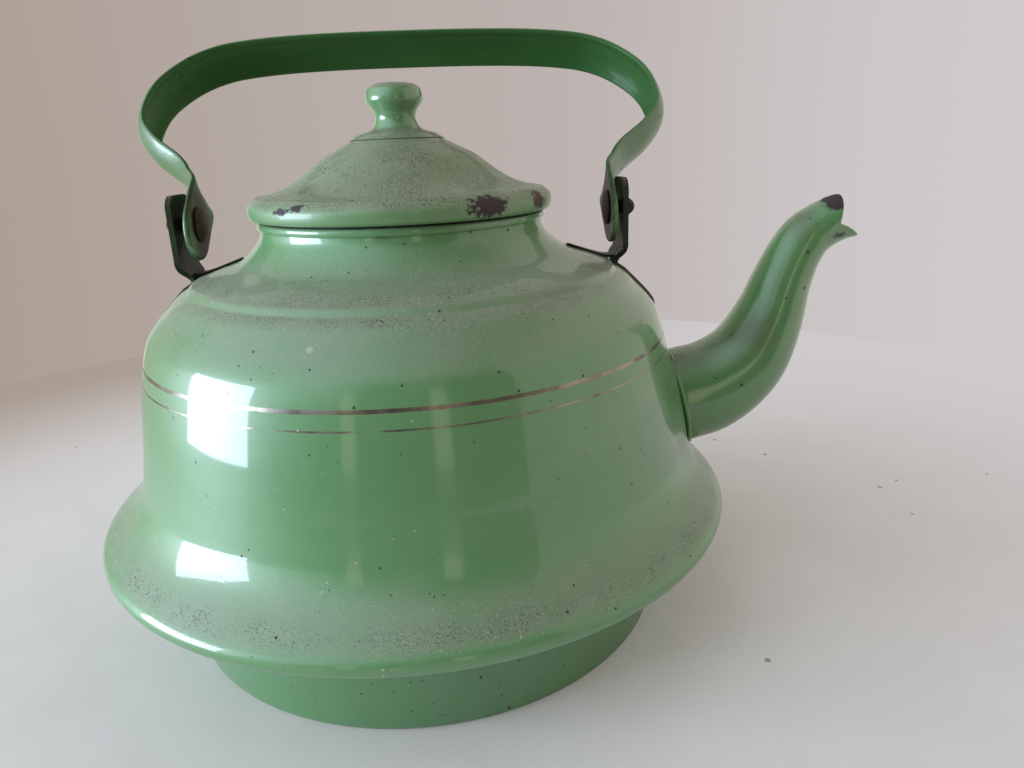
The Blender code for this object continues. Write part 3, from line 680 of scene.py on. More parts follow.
def swage_rise(place):
    """how far the wall stands out towards the spout at a point"""
    if place.x <= 0:
        return 0
    reach = SWAGE_ABOVE if place.z > SPOUT_ROOT_HEIGHT else SWAGE_BELOW
    away = min(abs(place.z - SPOUT_ROOT_HEIGHT) / reach, 1)
    aside = min(max((abs(place.y) - SWAGE_PLATEAU) / SWAGE_SPREAD, 0), 1)
    return SWAGE_RISE * math.cos(away * math.pi / 2) ** 2 * math.cos(aside * math.pi / 2) ** 2


def swaged(place):
    """a point of the wall moved out with the swage"""
    return place + Vector((place.x, place.y, 0)).normalized() * swage_rise(place)


def rippled(place):
    """a point of the pressed sheet drawn a hair inwards, as no pressing is quite true"""
    inward = RIPPLE_DEPTH * (1 - noise.noise(place * RIPPLE_SCALE)) / 2
    return place - Vector((place.x, place.y, 0)).normalized() * inward


def shoulder_line():
    """outer side of the shell from the neck, over the ledge, step, shoulder and wall, to the lip"""
    neck = (NECK_RADIUS, NECK_HEIGHT)
    ledge = (LEDGE_RADIUS, LEDGE_HEIGHT)
    foot = (STEP_RADIUS, STEP_HEIGHT)
    shoulder = (SHOULDER_RADIUS, SHOULDER_HEIGHT)
    waist = (WAIST_RADIUS, WAIST_HEIGHT)
    flange = (FLANGE_RADIUS, FLANGE_HEIGHT)
    lip = (LIP_RADIUS, LIP_HEIGHT)
    groove = (NECK_RADIUS, NECK_HEIGHT + GROOVE_RISE)
    rise = (NECK_RADIUS + GROOVE_FLARE, NECK_HEIGHT - GROOVE_FALL)
    points = [groove, rise] + between(neck, ledge, NECK_SWEEP_SHARES)
    points += between(ledge, foot, STEP_SHARES)
    points += between(foot, shoulder, SHOULDER_SHARES)
    points += between(shoulder, waist, WALL_SHARES)
    points += between(waist, flange, FLARE_SHARES)
    points += between(flange, lip, LIP_SHARES) + [lip]
    return smooth_through(points, OUTLINE_STEPS)


def lid_dome_line():
    """outer side of the lid's dome, from the vent hole to the crease at its rim"""
    crease = LID_BASE + LID_RIM_HEIGHT * LID_BEAD_SHARES[0][1]
    dome = [(a * LID_DOME_RADIUS, crease + u * LID_DOME_RISE) for a, u in LID_DOME_SHARES]
    dome[0] = (LID_VENT_RADIUS, dome[0][1])
    return smooth_through(dome, OUTLINE_STEPS)


# Body, base and spout


def body_shell():
    """one pressed shell from the rolled brim to the lip folded under the flange"""
    roll = (BRIM_BORE + BRIM_WIDTH / 2, BRIM_HEIGHT - BRIM_DEPTH / 2)
    brim = arc(roll, BRIM_WIDTH / 2, BRIM_DEPTH / 2, math.pi, -BRIM_ROLL_ANGLE, BRIM_STEPS)
    outer = shoulder_line()
    fold = (LIP_RADIUS - LIP_WIDTH, LIP_HEIGHT)
    lining = shifted(outer, BODY_SHEET)
    bottom = LIP_HEIGHT + BODY_SHEET
    lining = [place for place in lining if place[1] > bottom]
    corner = (lining[-1][0], bottom)
    outline = brim + thinned(outer, FINE_TOLERANCE) + [fold, (fold[0], bottom), corner]
    outline += list(reversed(thinned(lining, LINING_TOLERANCE)))
    shell = spun("shell", outline, BODY_FACETS)
    move_points(shell, swaged)
    cut_away(shell, [flow_hole_tool()])
    move_points(shell, rippled)
    return shell


def base_pan():
    """stepped base that drops into a stove ring, its rim caught in the body's fold"""
    seat = LIP_HEIGHT + BODY_SHEET + SEAT_GAP
    rim = LIP_RADIUS - BODY_SHEET / 2
    knee = (FOOT_TOP_RADIUS + FOOT_TOP_CORNER, seat - FOOT_TOP_CORNER)
    heel = (FOOT_RADIUS, FOOT_CORNER)
    under = [(0, 0)]
    under += arc(heel, FOOT_CORNER, FOOT_CORNER, -math.pi / 2, 0, CORNER_STEPS)
    under += arc(knee, FOOT_TOP_CORNER, FOOT_TOP_CORNER, math.pi, math.pi / 2, CORNER_STEPS)
    under += [(rim, seat)]
    inner_heel = FOOT_CORNER - BODY_SHEET
    inner_knee = FOOT_TOP_CORNER + BODY_SHEET
    lining = [(0, BODY_SHEET)]
    lining += arc(heel, inner_heel, inner_heel, -math.pi / 2, 0, INNER_HEEL_STEPS)
    lining += arc(knee, inner_knee, inner_knee, math.pi, math.pi / 2, INNER_KNEE_STEPS)
    lining += [(rim, seat + BODY_SHEET)]
    return spun("pan", lining + list(reversed(under)), BODY_FACETS)


def spout_line(steps):
    """centre line of the spout with its radius at each point, from inside the wall to the mouth"""
    root = (WAIST_RADIUS, SPOUT_ROOT_HEIGHT)
    mouth = (WAIST_RADIUS + SPOUT_LENGTH, SPOUT_ROOT_HEIGHT + SPOUT_RISE)
    places = between(root, mouth, SPOUT_PATH_SHARES)
    swell = SPOUT_ROOT_RADIUS - SPOUT_MOUTH_RADIUS
    points = [
        (x, h, SPOUT_MOUTH_RADIUS + share * swell)
        for (x, h), share in zip(places, SPOUT_SWELL_SHARES)
    ]
    return smooth_through(points, steps)


def spout_ring(line, place, inset, reach):
    """one ring of the spout, worked by degrees into the mouth's notch, crease and beak"""
    x, h, radius = line[place]
    ahead = line[min(place + 1, len(line) - 1)]
    behind = line[max(place - 1, 0)]
    way = Vector((ahead[0] - behind[0], 0, ahead[1] - behind[1])).normalized()
    across = Vector((0, 1, 0))
    up = way.cross(across)
    up = -up if up.z < 0 or (up.z == 0 and up.x > 0) else up
    ring = []
    for i in range(SPOUT_FACETS):
        angle = math.tau * i / SPOUT_FACETS
        low = max(-math.cos(angle), 0)
        high = max(math.cos(angle), 0)
        beak = max(low + SPOUT_BEAK_SHARE - 1, 0) / SPOUT_BEAK_SHARE
        edge = SPOUT_HOOD_REACH * high - SPOUT_NOTCH_DEPTH
        edge += SPOUT_BEAK_REACH * beak**SPOUT_BEAK_POWER
        pinch = 1 - SPOUT_PINCH_SHARE * low * reach
        crease = math.exp(-((low - SPOUT_CREASE_PLACE) ** 2) / SPOUT_CREASE_SPREAD) * reach**3
        wide = radius - inset - SPOUT_CREASE * crease
        offset = up * math.cos(angle) * wide + across * math.sin(angle) * wide * pinch
        dip = up * (-SPOUT_BEAK_DIP * low**3 * reach)
        ring.append(Vector((x, 0, h)) + offset + dip + way * edge * reach)
    return ring


def spout():
    """hollow spout with its root cut to the wall"""
    line = spout_line(SPOUT_STEPS)
    last = len(line) - 1
    shares = [max(place / last + SPOUT_MOUTH_SHARE - 1, 0) for place in range(last + 1)]
    reaches = [share / SPOUT_MOUTH_SHARE for share in shares]
    skin = [spout_ring(line, place, 0, reach) for place, reach in enumerate(reaches)]
    lining = [spout_ring(line, place, SPOUT_SHEET, reach) for place, reach in enumerate(reaches)]
    tube = add_object("pouring_spout", tube_mesh(skin + list(reversed(lining)), ends_joined=True))
    cut_away(tube, [wall_tool()])
    soften_edges(tube, EDGE_ROUND)
    return tube


def wall_tool():
    """the body's outside grown by the seat gap, as a solid block"""
    grown = shifted(shoulder_line(), -SEAT_GAP)
    grown = thinned([place for place in grown if place[1] < SHOULDER_HEIGHT], FINE_TOLERANCE)
    block = spun("wall_tool", [(0, grown[0][1])] + grown + [(0, grown[-1][1])], BODY_FACETS)
    move_points(block, swaged)
    return block


def flow_hole_tool():
    """the spout's bore, carried on through the wall"""
    line = spout_line(BORE_STEPS)
    rings = [
        spout_ring(line, place, SPOUT_SHEET + SEAT_GAP, 0)
        for place in range(len(line))
        if line[place][0] < WAIST_RADIUS + FLOW_HOLE_REACH
    ]
    return add_object("flow_hole_tool", tube_mesh(rings))


def weld_path():
    """where the spout's skin comes out of the wall, one point for each facet"""
    line = spout_line(WELD_STEPS)
    wall = [place for place in shoulder_line() if place[1] < SHOULDER_HEIGHT]
    rings = [spout_ring(line, place, 0, 0) for place in range(len(line) // 2)]
    path = []
    for i in range(SPOUT_FACETS):
        for ring in rings:
            place = ring[i]
            out = math.hypot(place.x, place.y) - swage_rise(place)
            if out > radius_at(wall, place.z):
                path.append(place)
                break
    return path


def root_weld():
    """small fillet of enamelled weld round the spout's root"""
    path = weld_path()
    centre = sum(path, Vector()) / len(path)
    rings = []
    for i, place in enumerate(path):
        along = (path[(i + 1) % len(path)] - path[i - 1]).normalized()
        outward = (place - centre).normalized()
        side = along.cross(outward).normalized()
        size = WELD_RADIUS * (1 + WELD_UNEVENNESS * noise.noise(place * WELD_UNEVEN_SCALE))
        ring = []
        for step in range(WELD_FACETS):
            angle = math.tau * step / WELD_FACETS
            ring.append(place + (outward * math.cos(angle) + side * math.sin(angle)) * size)
        rings.append(ring)
    return add_object("spout_root_weld", tube_mesh(rings, ends_joined=True))


# Ears


def ear_middle_line():
    """middle of the ear in the X-Z plane: the upright strap, and the leaf on the shoulder"""
    clear = LEAF_SHEET / 2 - LEAF_BED
    outside = [p for p in shifted(shoulder_line(), -clear) if p[0] > STEP_RADIUS + EAR_OFFSET / 2]
    leaf = [p for p in outside if p[1] > STEP_HEIGHT - LEAF_DROP]
    bend = (EAR_DISTANCE, PIVOT_HEIGHT - EAR_DROP)
    foot = (EAR_DISTANCE - EAR_JOGGLE, leaf[0][1])
    joggle = [
        (foot[0] + a * EAR_JOGGLE, bend[1] + u * (foot[1] - bend[1])) for a, u in EAR_JOGGLE_SHARES
    ]
    return [bend] + joggle, thinned(leaf, LEAF_TOLERANCE)


def sheet_between(stations, side):
    """a bent strap from stations of place, width, wrap and sheet, wrapped round Z where it lies"""
    fine = smooth_through(stations, SHEET_STEPS)
    right = shifted([station[:2] for station in fine], 1)
    shares = [2 * i / (SHEET_COLUMNS - 1) - 1 for i in range(SHEET_COLUMNS)]
    rings = []
    for (r, h, width, wrap, sheet), normal in zip(fine, right):
        across = (Vector(normal) - Vector((r, h))) * sheet / 2
        ring = []
        for turn, order in ((1, shares), (-1, list(reversed(shares)))):
            place = Vector((r, h)) - across * turn
            for share in order:
                y = share * width / 2
                bent = math.sqrt(place.x**2 - y**2)
                x = (1 - wrap) * place.x + wrap * bent
                ring.append(Vector((side * x, y, place.y)))
        rings.append(ring)
    return tube_mesh(rings)


def ear_stations():
    """place, width, wrap and sheet along the ear, from its rounded top to the leaf's tip"""
    strap, leaf = ear_middle_line()
    top = PIVOT_HEIGHT + EAR_RISE
    turns = [math.pi / 2 * i / EAR_CORNER_STEPS for i in range(EAR_CORNER_STEPS + 1)]
    corner = [
        (top - EAR_CORNER * (1 - math.cos(turn)), EAR_CORNER * (1 - math.sin(turn)))
        for turn in turns
    ]
    stations = [
        (EAR_DISTANCE, h, EAR_WIDTH - 2 * inset, 0, STRAP_SHEET) for h, inset in corner
    ]
    high, low = corner[-1][0], strap[0][1]
    for step in range(1, EAR_STEPS + 1):
        level = high + (low - high) * step / EAR_STEPS
        stations.append((EAR_DISTANCE, level, EAR_WIDTH, 0, STRAP_SHEET))
    wraps = (0, 1 / 3, 2 / 3)
    sheets = (STRAP_SHEET, STRAP_SHEET, (STRAP_SHEET + LEAF_SHEET) / 2)
    for place, share, wrap, sheet in zip(strap[1:], EAR_FOOT_SHARES, wraps, sheets):
        stations.append((*place, EAR_WIDTH * share, wrap, sheet))
    for i, place in enumerate(leaf):
        width = LEAF_WIDTH * height_at(LEAF_WIDTH_SHARES, i / (len(leaf) - 1))
        stations.append((*place, width, 1, LEAF_SHEET))
    return stations


def ear(name, side):
    """upright strap with its leaf on the shoulder, its thin leaf on the ledge and its hole"""
    made = add_object(name, sheet_between(ear_stations(), side))
    bore = RIVET_SHANK_RADIUS + RIVET_CLEARANCE
    hole = rod_mesh(bore, EAR_DISTANCE - STRAP_SHEET, EAR_DISTANCE + STRAP_SHEET, side)
    cut_away(made, [add_object("hole_tool", hole)])
    cut_away(made, [inner_leaf(side)], "UNION")
    soften_edges(made, EDGE_ROUND)
    return made


def inner_leaf(side):
    """thin leaf from the ear's foot over the ledge towards the neck"""
    clear = INNER_LEAF_SHEET / 2 - LEAF_BED
    outside = shifted(shoulder_line(), -clear)
    start = EAR_DISTANCE - EAR_JOGGLE
    lying = [p for p in outside if LEDGE_RADIUS - INNER_LEAF_REACH < p[0] < LEDGE_RADIUS]
    middle = [(start, lying[-1][1])] + list(reversed(thinned(lying, LINING_TOLERANCE)))
    count = len(middle) - 1
    stations = []
    for i, place in enumerate(middle):
        spread = INNER_LEAF_WIDTH - INNER_LEAF_TIP_WIDTH
        width = INNER_LEAF_TIP_WIDTH + spread * math.sqrt(1 - i / count)
        stations.append((*place, width, min(i, 1), INNER_LEAF_SHEET))
    return add_object("inner_leaf", sheet_between(stations, side))


def rod_mesh(radius, start, stop, side):
    """a plain round bar along X at the bail's hinge height"""
    rings = []
    for x in (start, stop):
        ring = []
        for i in range(RIVET_FACETS):
            angle = math.tau * i / RIVET_FACETS
            y, z = radius * math.cos(angle), radius * math.sin(angle)
            ring.append(Vector((side * x, y, PIVOT_HEIGHT + z)))
        rings.append(ring)
    return tube_mesh(rings)


# Bail handle and rivets


def bail_edge_line():
    """path of the strap's edges in the bail's own plane: across, and up from the hinge axis"""
    lobe = LOBE_DISTANCE
    span = lobe + BAIL_SPREAD
    rising = [(lobe + a * BAIL_SPREAD, u * BAIL_RISE) for a, u in BAIL_PATH_SHARES]
    bow = [(a * span, u * BAIL_RISE) for a, u in BAIL_BOW_SHARES]
    flat = [(lobe, 0), (lobe, LOBE_DROP / 2), (lobe, LOBE_DROP)]
    half = flat + rising + bow + [(0, BAIL_RISE)]
    whole = half + [(-x, s) for x, s in reversed(half[:-1])]
    return thinned(smooth_through(whole, OUTLINE_STEPS), FINE_TOLERANCE)


def bail_section(place, way, width, crown):
    """ring of the pressed strap: an arc of sheet with rounded edges, nearly flat or half-round"""
    outward = Vector((way[1], 0, -way[0]))
    half = max(crown, BAIL_FLAT_ANGLE) / 2
    radius = width / 2 / half
    rim = radius * math.cos(half)
    thick = STRAP_SHEET / 2
    ring = []
    for side in (1, -1):
        for i in range(BAIL_ARC_STEPS + 1):
            angle = side * half * (2 * i / BAIL_ARC_STEPS - 1) * (1 - thick / width)
            ring.append((radius + side * thick, angle))
        for step in range(1, BAIL_EDGE_STEPS):
            turn = math.pi * step / BAIL_EDGE_STEPS
            edge = side * half * (1 - thick / width + thick / width * math.sin(turn) * 2)
            ring.append((radius + side * thick * math.cos(turn), edge))
    return [
        Vector((place[0], 0, place[1]))
        + outward * (away * math.cos(angle) - rim)
        + Vector((0, away * math.sin(angle), 0))
        for away, angle in ring
    ]


def lobe_stations():
    """place, way, width and crown of the strap from a lobe's round end to its full width"""
    start_angle = math.asin(LOBE_TIP_WIDTH / LOBE_WIDTH)
    stations = []
    for step in range(LOBE_STEPS + 1):
        angle = start_angle + (math.pi / 2 - start_angle) * step / LOBE_STEPS
        drop = -LOBE_DROP + LOBE_WIDTH / 2 * (1 - math.cos(angle))
        stations.append(((LOBE_DISTANCE, drop), (0, 1), LOBE_WIDTH * math.sin(angle), 0))
    return stations


def bail_handle():
    """one strap from lobe to lobe: flat round-ended lobes that roll up into a half-round bow"""
    line = bail_edge_line()
    lobe = lobe_stations()
    stations = list(lobe)
    for i in range(1, len(line) - 1):
        ahead, behind = Vector(line[i + 1]), Vector(line[i - 1])
        way = (ahead - behind).normalized()
        rise = min(max((line[i][1] - LOBE_DROP / 2) / LOBE_ROLL_RISE, 0), 1)
        roll = rise * rise * (3 - 2 * rise)
        width = LOBE_WIDTH + (BAIL_WIDTH - LOBE_WIDTH) * roll
        stations.append((line[i], way, width, BAIL_CROWN_ANGLE * roll))
    for (x, h), _, width, crown in reversed(lobe):
        stations.append(((-x, h), (0, -1), width, crown))
    rings = [bail_section(*station) for station in stations]
    made = add_object("bow_handle", tube_mesh(rings))
    turn = Matrix.Rotation(-BAIL_LEAN, 4, "X")
    made.data.transform(Matrix.Translation((BAIL_OFFSET, 0, PIVOT_HEIGHT)) @ turn)
    bore = RIVET_SHANK_RADIUS + RIVET_CLEARANCE
    tools = []
    for side in (-1, 1):
        place = LOBE_DISTANCE + side * BAIL_OFFSET
        hole = rod_mesh(bore, place - STRAP_SHEET, place + STRAP_SHEET, side)
        tools.append(add_object("lobe_hole_tool", hole))
    cut_away(made, tools)
    return made


def pivot_rivet(name, side):
    """domed head inside the lobe, shank through lobe and ear, peened over outside"""
    lobe_face = LOBE_DISTANCE + side * BAIL_OFFSET - STRAP_SHEET / 2 - SEAT_GAP
    ear_face = EAR_DISTANCE + STRAP_SHEET / 2 + SEAT_GAP
    quarter = math.pi / 2
    head = arc((0, lobe_face), RIVET_HEAD_RADIUS, -RIVET_HEAD_HEIGHT, quarter, 0, CORNER_STEPS)
    peen = arc((0, ear_face), RIVET_PEEN_RADIUS, RIVET_PEEN_HEIGHT, 0, quarter, CORNER_STEPS)
    head[0] = (0, lobe_face - RIVET_HEAD_HEIGHT)
    peen[-1] = (0, ear_face + RIVET_PEEN_HEIGHT)
    shank = [(RIVET_SHANK_RADIUS, lobe_face), (RIVET_SHANK_RADIUS, ear_face)]
    made = spun(name, head + shank + peen, RIVET_FACETS)
    turn = Matrix.Rotation(side * quarter, 4, "Y")
    made.data.transform(Matrix.Translation((0, 0, PIVOT_HEIGHT)) @ turn)
    soften_edges(made, EDGE_ROUND, segments=2)
    move_points(made, lambda place: hammered(place, lobe_face, ear_face))
    return made


def hammered(place, lobe_face, ear_face):
    """a point of a rivet's head or peen beaten a little inwards, and its flats left alone"""
    out = abs(place.x)
    if lobe_face - SEAT_GAP < out < ear_face + SEAT_GAP:
        return place
    beaten = abs(noise.noise(place * HAMMER_SCALE)) * HAMMER_DEPTH
    away = Vector((0, place.y, place.z - PIVOT_HEIGHT))
    place -= away.normalized() * beaten
    inner = math.copysign(beaten, place.x)
    place.x += -inner if out > ear_face else inner
    return place


# Lid


def lid_shell():
    """domed lid with a thick rolled rim and the small vent under the knob"""
    dome = lid_dome_line()
    seat = (LID_DOME_RADIUS, LID_BASE)
    proud = LID_RADIUS - LID_DOME_RADIUS
    bead = [(seat[0] + a * proud, seat[1] + u * LID_RIM_HEIGHT) for a, u in LID_BEAD_SHARES]
    crease = (bead[0][0], bead[0][1] - LID_CREASE)
    bead = smooth_through(bead[1:], OUTLINE_STEPS)
    lip_edge = BRIM_BORE - COLLAR_CLEARANCE + SEAT_GAP
    under = [(lip_edge, seat[1]), (lip_edge, seat[1] + LID_SHEET)]
    hollow = LID_RADIUS - LID_SHEET
    inside = [
        (hollow - a * LID_SHEET, seat[1] + u * LID_RIM_HEIGHT) for a, u in LID_LINING_SHARES
    ]
    inside = smooth_through(inside, RIM_LINING_STEPS)
    lining = shifted(dome, LID_SHEET)
    lining = [(dome[0][0], dome[0][1] - LID_SHEET)] + thinned(lining, LINING_TOLERANCE)[1:]
    outline = thinned(dome, FINE_TOLERANCE)[:-1] + [crease] + bead + under + inside
    outline += list(reversed(lining))
    return spun("lid_dome", outline, LID_FACETS)


def lid_collar():
    """plain ring under the lid that drops into the neck"""
    outer = BRIM_BORE - COLLAR_CLEARANCE
    lining = shifted(lid_dome_line(), LID_SHEET + SEAT_GAP)
    bottom = BRIM_HEIGHT - COLLAR_DEPTH
    top = height_at(lining, outer)
    outline = [
        (outer, top),
        (outer, bottom + COLLAR_TAPER * 2),
        (outer - COLLAR_TAPER, bottom),
        (outer - COLLAR_SHEET - COLLAR_TAPER, bottom),
        (outer - COLLAR_SHEET, bottom + COLLAR_TAPER * 2),
        (outer - COLLAR_SHEET, top),
    ]
    made = spun("lid_ring", outline, LID_FACETS)
    soften_edges(made, COLLAR_SHEET / 4, segments=2)
    return made


def lid_knob():
    """hollow mushroom knob with a flared skirt"""
    dome = shifted(lid_dome_line(), -SEAT_GAP)
    base = height_at(dome, KNOB_SKIRT_RADIUS)
    flare = KNOB_SKIRT_RADIUS - KNOB_NECK_RADIUS
    runout = KNOB_SKIRT_RADIUS + SKIRT_RUNOUT
    points = [(runout, height_at(lid_dome_line(), runout)), (KNOB_SKIRT_RADIUS, base)]
    points += [(KNOB_NECK_RADIUS + a * flare, base + u * KNOB_HEIGHT) for a, u in KNOB_BASE_SHARES]
    points += [(KNOB_NECK_RADIUS * a, base + u * KNOB_HEIGHT) for a, u in KNOB_STEM_SHARES]
    points += [(KNOB_RADIUS * a, base + u * KNOB_HEIGHT) for a, u in KNOB_CAP_SHARES]
    skin = thinned(smooth_through(points, OUTLINE_STEPS), FINE_TOLERANCE)
    inner_foot = KNOB_SKIRT_RADIUS - KNOB_SHEET
    lining = shifted(smooth_through(points, KNOB_LINING_STEPS), -KNOB_SHEET)
    lining = [p for p in lining if p[0] < inner_foot and p[1] > base + KNOB_SHEET]
    lining = thinned(lining, LINING_TOLERANCE)
    lining[-1] = (0, base + KNOB_HEIGHT - KNOB_SHEET)
    foot = [(inner_foot, height_at(dome, inner_foot))]
    outline = list(reversed(skin)) + foot + lining
    return spun("knob", [(max(r, 0), h) for r, h in outline], KNOB_FACETS)


# Shader helpers


class Wiring:
    """short ways to add nodes to one node tree and join them"""

    def __init__(self, tree):
        self.tree = tree

    def add(self, kind, **settings):
        """a new node with its settings"""
        node = self.tree.nodes.new(kind)
        for name, value in settings.items():
            setattr(node, name, value)
        return node

    def feed(self, socket, value):
        """joins a socket to another, or sets its plain value"""
        if isinstance(value, bpy.types.NodeSocket):
            self.tree.links.new(value, socket)
        elif socket.type == "RGBA":
            socket.default_value = (*value, 1)
        else:
            socket.default_value = value

    def calc(self, operation, *values, clamp=False):
        """one step of arithmetic"""
        node = self.add("ShaderNodeMath", operation=operation, use_clamp=clamp)
        for socket, value in zip(node.inputs, values):
            self.feed(socket, value)
        return node.outputs[0]

    def times(self, *values):
        """all the values multiplied together, from the first on"""
        product = values[0]
        for value in values[1:]:
            product = self.calc("MULTIPLY", product, value)
        return product

    def vector(self, operation, *values):
        """one step of arithmetic on places or directions"""
        node = self.add("ShaderNodeVectorMath", operation=operation)
        for socket, value in zip(node.inputs, values):
            self.feed(socket, value)
        return node

    def ramp(self, value, low, high, start=0.0, stop=1.0):
        """a smooth rise from start to stop as the value goes from low to high"""
        node = self.add("ShaderNodeMapRange", interpolation_type="SMOOTHSTEP")
        for socket, given in zip(node.inputs, (value, low, high, start, stop)):
            self.feed(socket, given)
        return node.outputs[0]

    def noise(self, place, scale, detail=2.0, roughness=0.5):
        """cloudy values between 0 and 1"""
        node = self.add("ShaderNodeTexNoise")
        self.feed(node.inputs["Vector"], place)
        self.feed(node.inputs["Scale"], scale)
        self.feed(node.inputs["Detail"], detail)
        self.feed(node.inputs["Roughness"], roughness)
        return node.outputs["Fac"]

    def sway(self, place, scale, detail=2.0, roughness=0.5):
        """noise that goes as far below nothing as above it"""
        return self.calc("SUBTRACT", self.noise(place, scale, detail, roughness), 0.5)

    def blend(self, share, under, over):
        """one colour over another"""
        node = self.add("ShaderNodeMix", data_type="RGBA")
        for place, value in ((0, share), (6, under), (7, over)):
            self.feed(node.inputs[place], value)
        return node.outputs[2]

    def place(self):
        """where each point lies on the object"""
        return self.add("ShaderNodeTexCoord").outputs["Object"]

    def facing(self):
        """which way each point faces"""
        return self.add("ShaderNodeTexCoord").outputs["Normal"]

    def parts(self, vector):
        """its X, Y and Z"""
        node = self.add("ShaderNodeSeparateXYZ")
        self.feed(node.inputs[0], vector)
        return node.outputs

    def use(self, group, **values):
        """a shared effect with its own values, spaces in their names written as underlines"""
        node = self.add("ShaderNodeGroup", node_tree=group)
        for name, value in values.items():
            self.feed(node.inputs[name.replace("_", " ")], value)
        return node.outputs


def effect(name, inputs, outputs):
    """an empty node group with its sockets, and the wiring to fill it"""
    group = bpy.data.node_groups.new(name, "ShaderNodeTree")
    for label, kind, value in inputs:
        socket = group.interface.new_socket(label, in_out="INPUT", socket_type="NodeSocket" + kind)
        socket.default_value = value
    for label, kind in outputs:
        group.interface.new_socket(label, in_out="OUTPUT", socket_type="NodeSocket" + kind)
    wires = Wiring(group)
    source = wires.add("NodeGroupInput").outputs
    drain = wires.add("NodeGroupOutput").inputs
    return group, wires, source, drain


# Effects that several finishes share


def glaze_effect():
    """fired enamel: slow colour drift between two tints, and the low ripple of the glaze"""
    group, wires, given, out = effect(
        "glaze",
        (("Colour", "Color", (1, 1, 1, 1)), ("Thin colour", "Color", (1, 1, 1, 1))),
        (("Colour", "Color"), ("Ripple", "Float")),
    )
    place = wires.place()
    drift = wires.noise(place, scale=28.0, detail=3.0, roughness=0.55)
    slow = wires.ramp(drift, low=0.35, high=0.70, start=0.0, stop=0.5)
    fine = wires.noise(place, scale=420.0, roughness=0.6)
    share = wires.calc("MULTIPLY_ADD", fine, FINE_DRIFT, slow)
    wires.feed(out["Colour"], wires.blend(share, given["Colour"], given["Thin colour"]))
    low = wires.noise(place, scale=60.0)
    peel = wires.noise(place, scale=700.0, detail=1.0)
    wires.feed(out["Ripple"], wires.calc("MULTIPLY_ADD", peel, PEEL_DEPTH, low))
    return group


def dust_effect():
    """dust that lies on what faces up, thickest where the slope is gentle, in soft patches"""
    group, wires, given, out = effect(
        "settled_dust",
        (("Start", "Float", 0.25), ("Full", "Float", 0.9), ("Amount", "Float", 1.0)),
        (("Mask", "Float"), ("Specks", "Float"), ("Pale specks", "Float")),
    )
    place = wires.place()
    up = wires.parts(wires.facing())[2]
    patchy = wires.sway(place, scale=55.0, detail=4.0, roughness=0.65)
    lifted = wires.calc("MULTIPLY_ADD", patchy, DUST_PATCHINESS, up)
    lying = wires.ramp(lifted, given["Start"], given["Full"])
    powder = wires.noise(place, scale=1500.0, roughness=0.7)
    broken = wires.ramp(powder, low=0.25, high=0.72, start=0.45)
    mask = wires.calc("MULTIPLY", wires.times(lying, broken), given["Amount"], clamp=True)
    drifts = wires.noise(place, scale=90.0, detail=5.0, roughness=0.7)
    thick = wires.times(lying, wires.ramp(drifts, low=0.38, high=0.60))
    grains = wires.ramp(wires.noise(place, scale=2300.0, detail=1.0), low=0.575, high=0.64)
    bright = wires.ramp(wires.noise(place, scale=1900.0, detail=1.0), low=0.645, high=0.69)
    wires.feed(out["Mask"], mask)
    wires.feed(out["Specks"], wires.times(grains, thick))
    wires.feed(out["Pale specks"], wires.times(bright, lying))
    return group


def grit_effect():
    """scattered grains of soot and pale grit, each its own size"""
    group, wires, given, out = effect(
        "grit",
        (("Scale", "Float", 700.0), ("Share", "Float", 0.1), ("Cover", "Float", 1.0)),
        (("Mask", "Float"),),
    )
    place = wires.place()
    shaken = wires.times(wires.noise(place, scale=1100.0, roughness=0.6), GRAIN_SHAKE)
    shift = wires.vector("SCALE", place)
    wires.feed(shift.inputs["Scale"], shaken)
    cells = wires.add("ShaderNodeTexVoronoi", feature="F1")
    wires.feed(cells.inputs["Vector"], wires.vector("ADD", place, shift.outputs[0]).outputs[0])
    wires.feed(cells.inputs["Scale"], given["Scale"])
    chance = wires.parts(cells.outputs["Color"])
    chosen = wires.calc("LESS_THAN", chance[0], given["Share"])
    size = wires.calc("MULTIPLY_ADD", chance[1], GRAIN_SPREAD, GRAIN_LEAST)
    grain = wires.calc("LESS_THAN", cells.outputs["Distance"], size)
    wires.feed(out["Mask"], wires.times(chosen, grain, given["Cover"]))
    return group


def patch_effect():
    """a chip, smear or stain at one place: how far it reaches each way, and how ragged it is"""
    group, wires, given, out = effect(
        "patch",
        (
            ("Place", "Vector", (0, 0, 0)),
            ("Reach", "Vector", (0.002, 0.002, 0.002)),
            ("Softness", "Float", 0.2),
            ("Ragged", "Float", 0.5),
            ("Scale", "Float", 500.0),
        ),
        (("Mask", "Float"), ("Rim", "Float")),
    )
    place = wires.place()
    away = wires.vector("SUBTRACT", place, given["Place"]).outputs[0]
    scaled = wires.vector("DIVIDE", away, given["Reach"]).outputs[0]
    far = wires.vector("LENGTH", scaled).outputs["Value"]
    torn = wires.sway(place, given["Scale"], detail=4.0, roughness=0.7)
    edge = wires.calc("MULTIPLY_ADD", torn, given["Ragged"], far)
    solid = wires.calc("SUBTRACT", 1.0, given["Softness"])
    wires.feed(out["Mask"], wires.ramp(edge, solid, 1.0, start=1.0, stop=0.0))
    wires.feed(out["Rim"], wires.ramp(edge, 1.0, PATCH_RIM, start=1.0, stop=0.0))
    return group


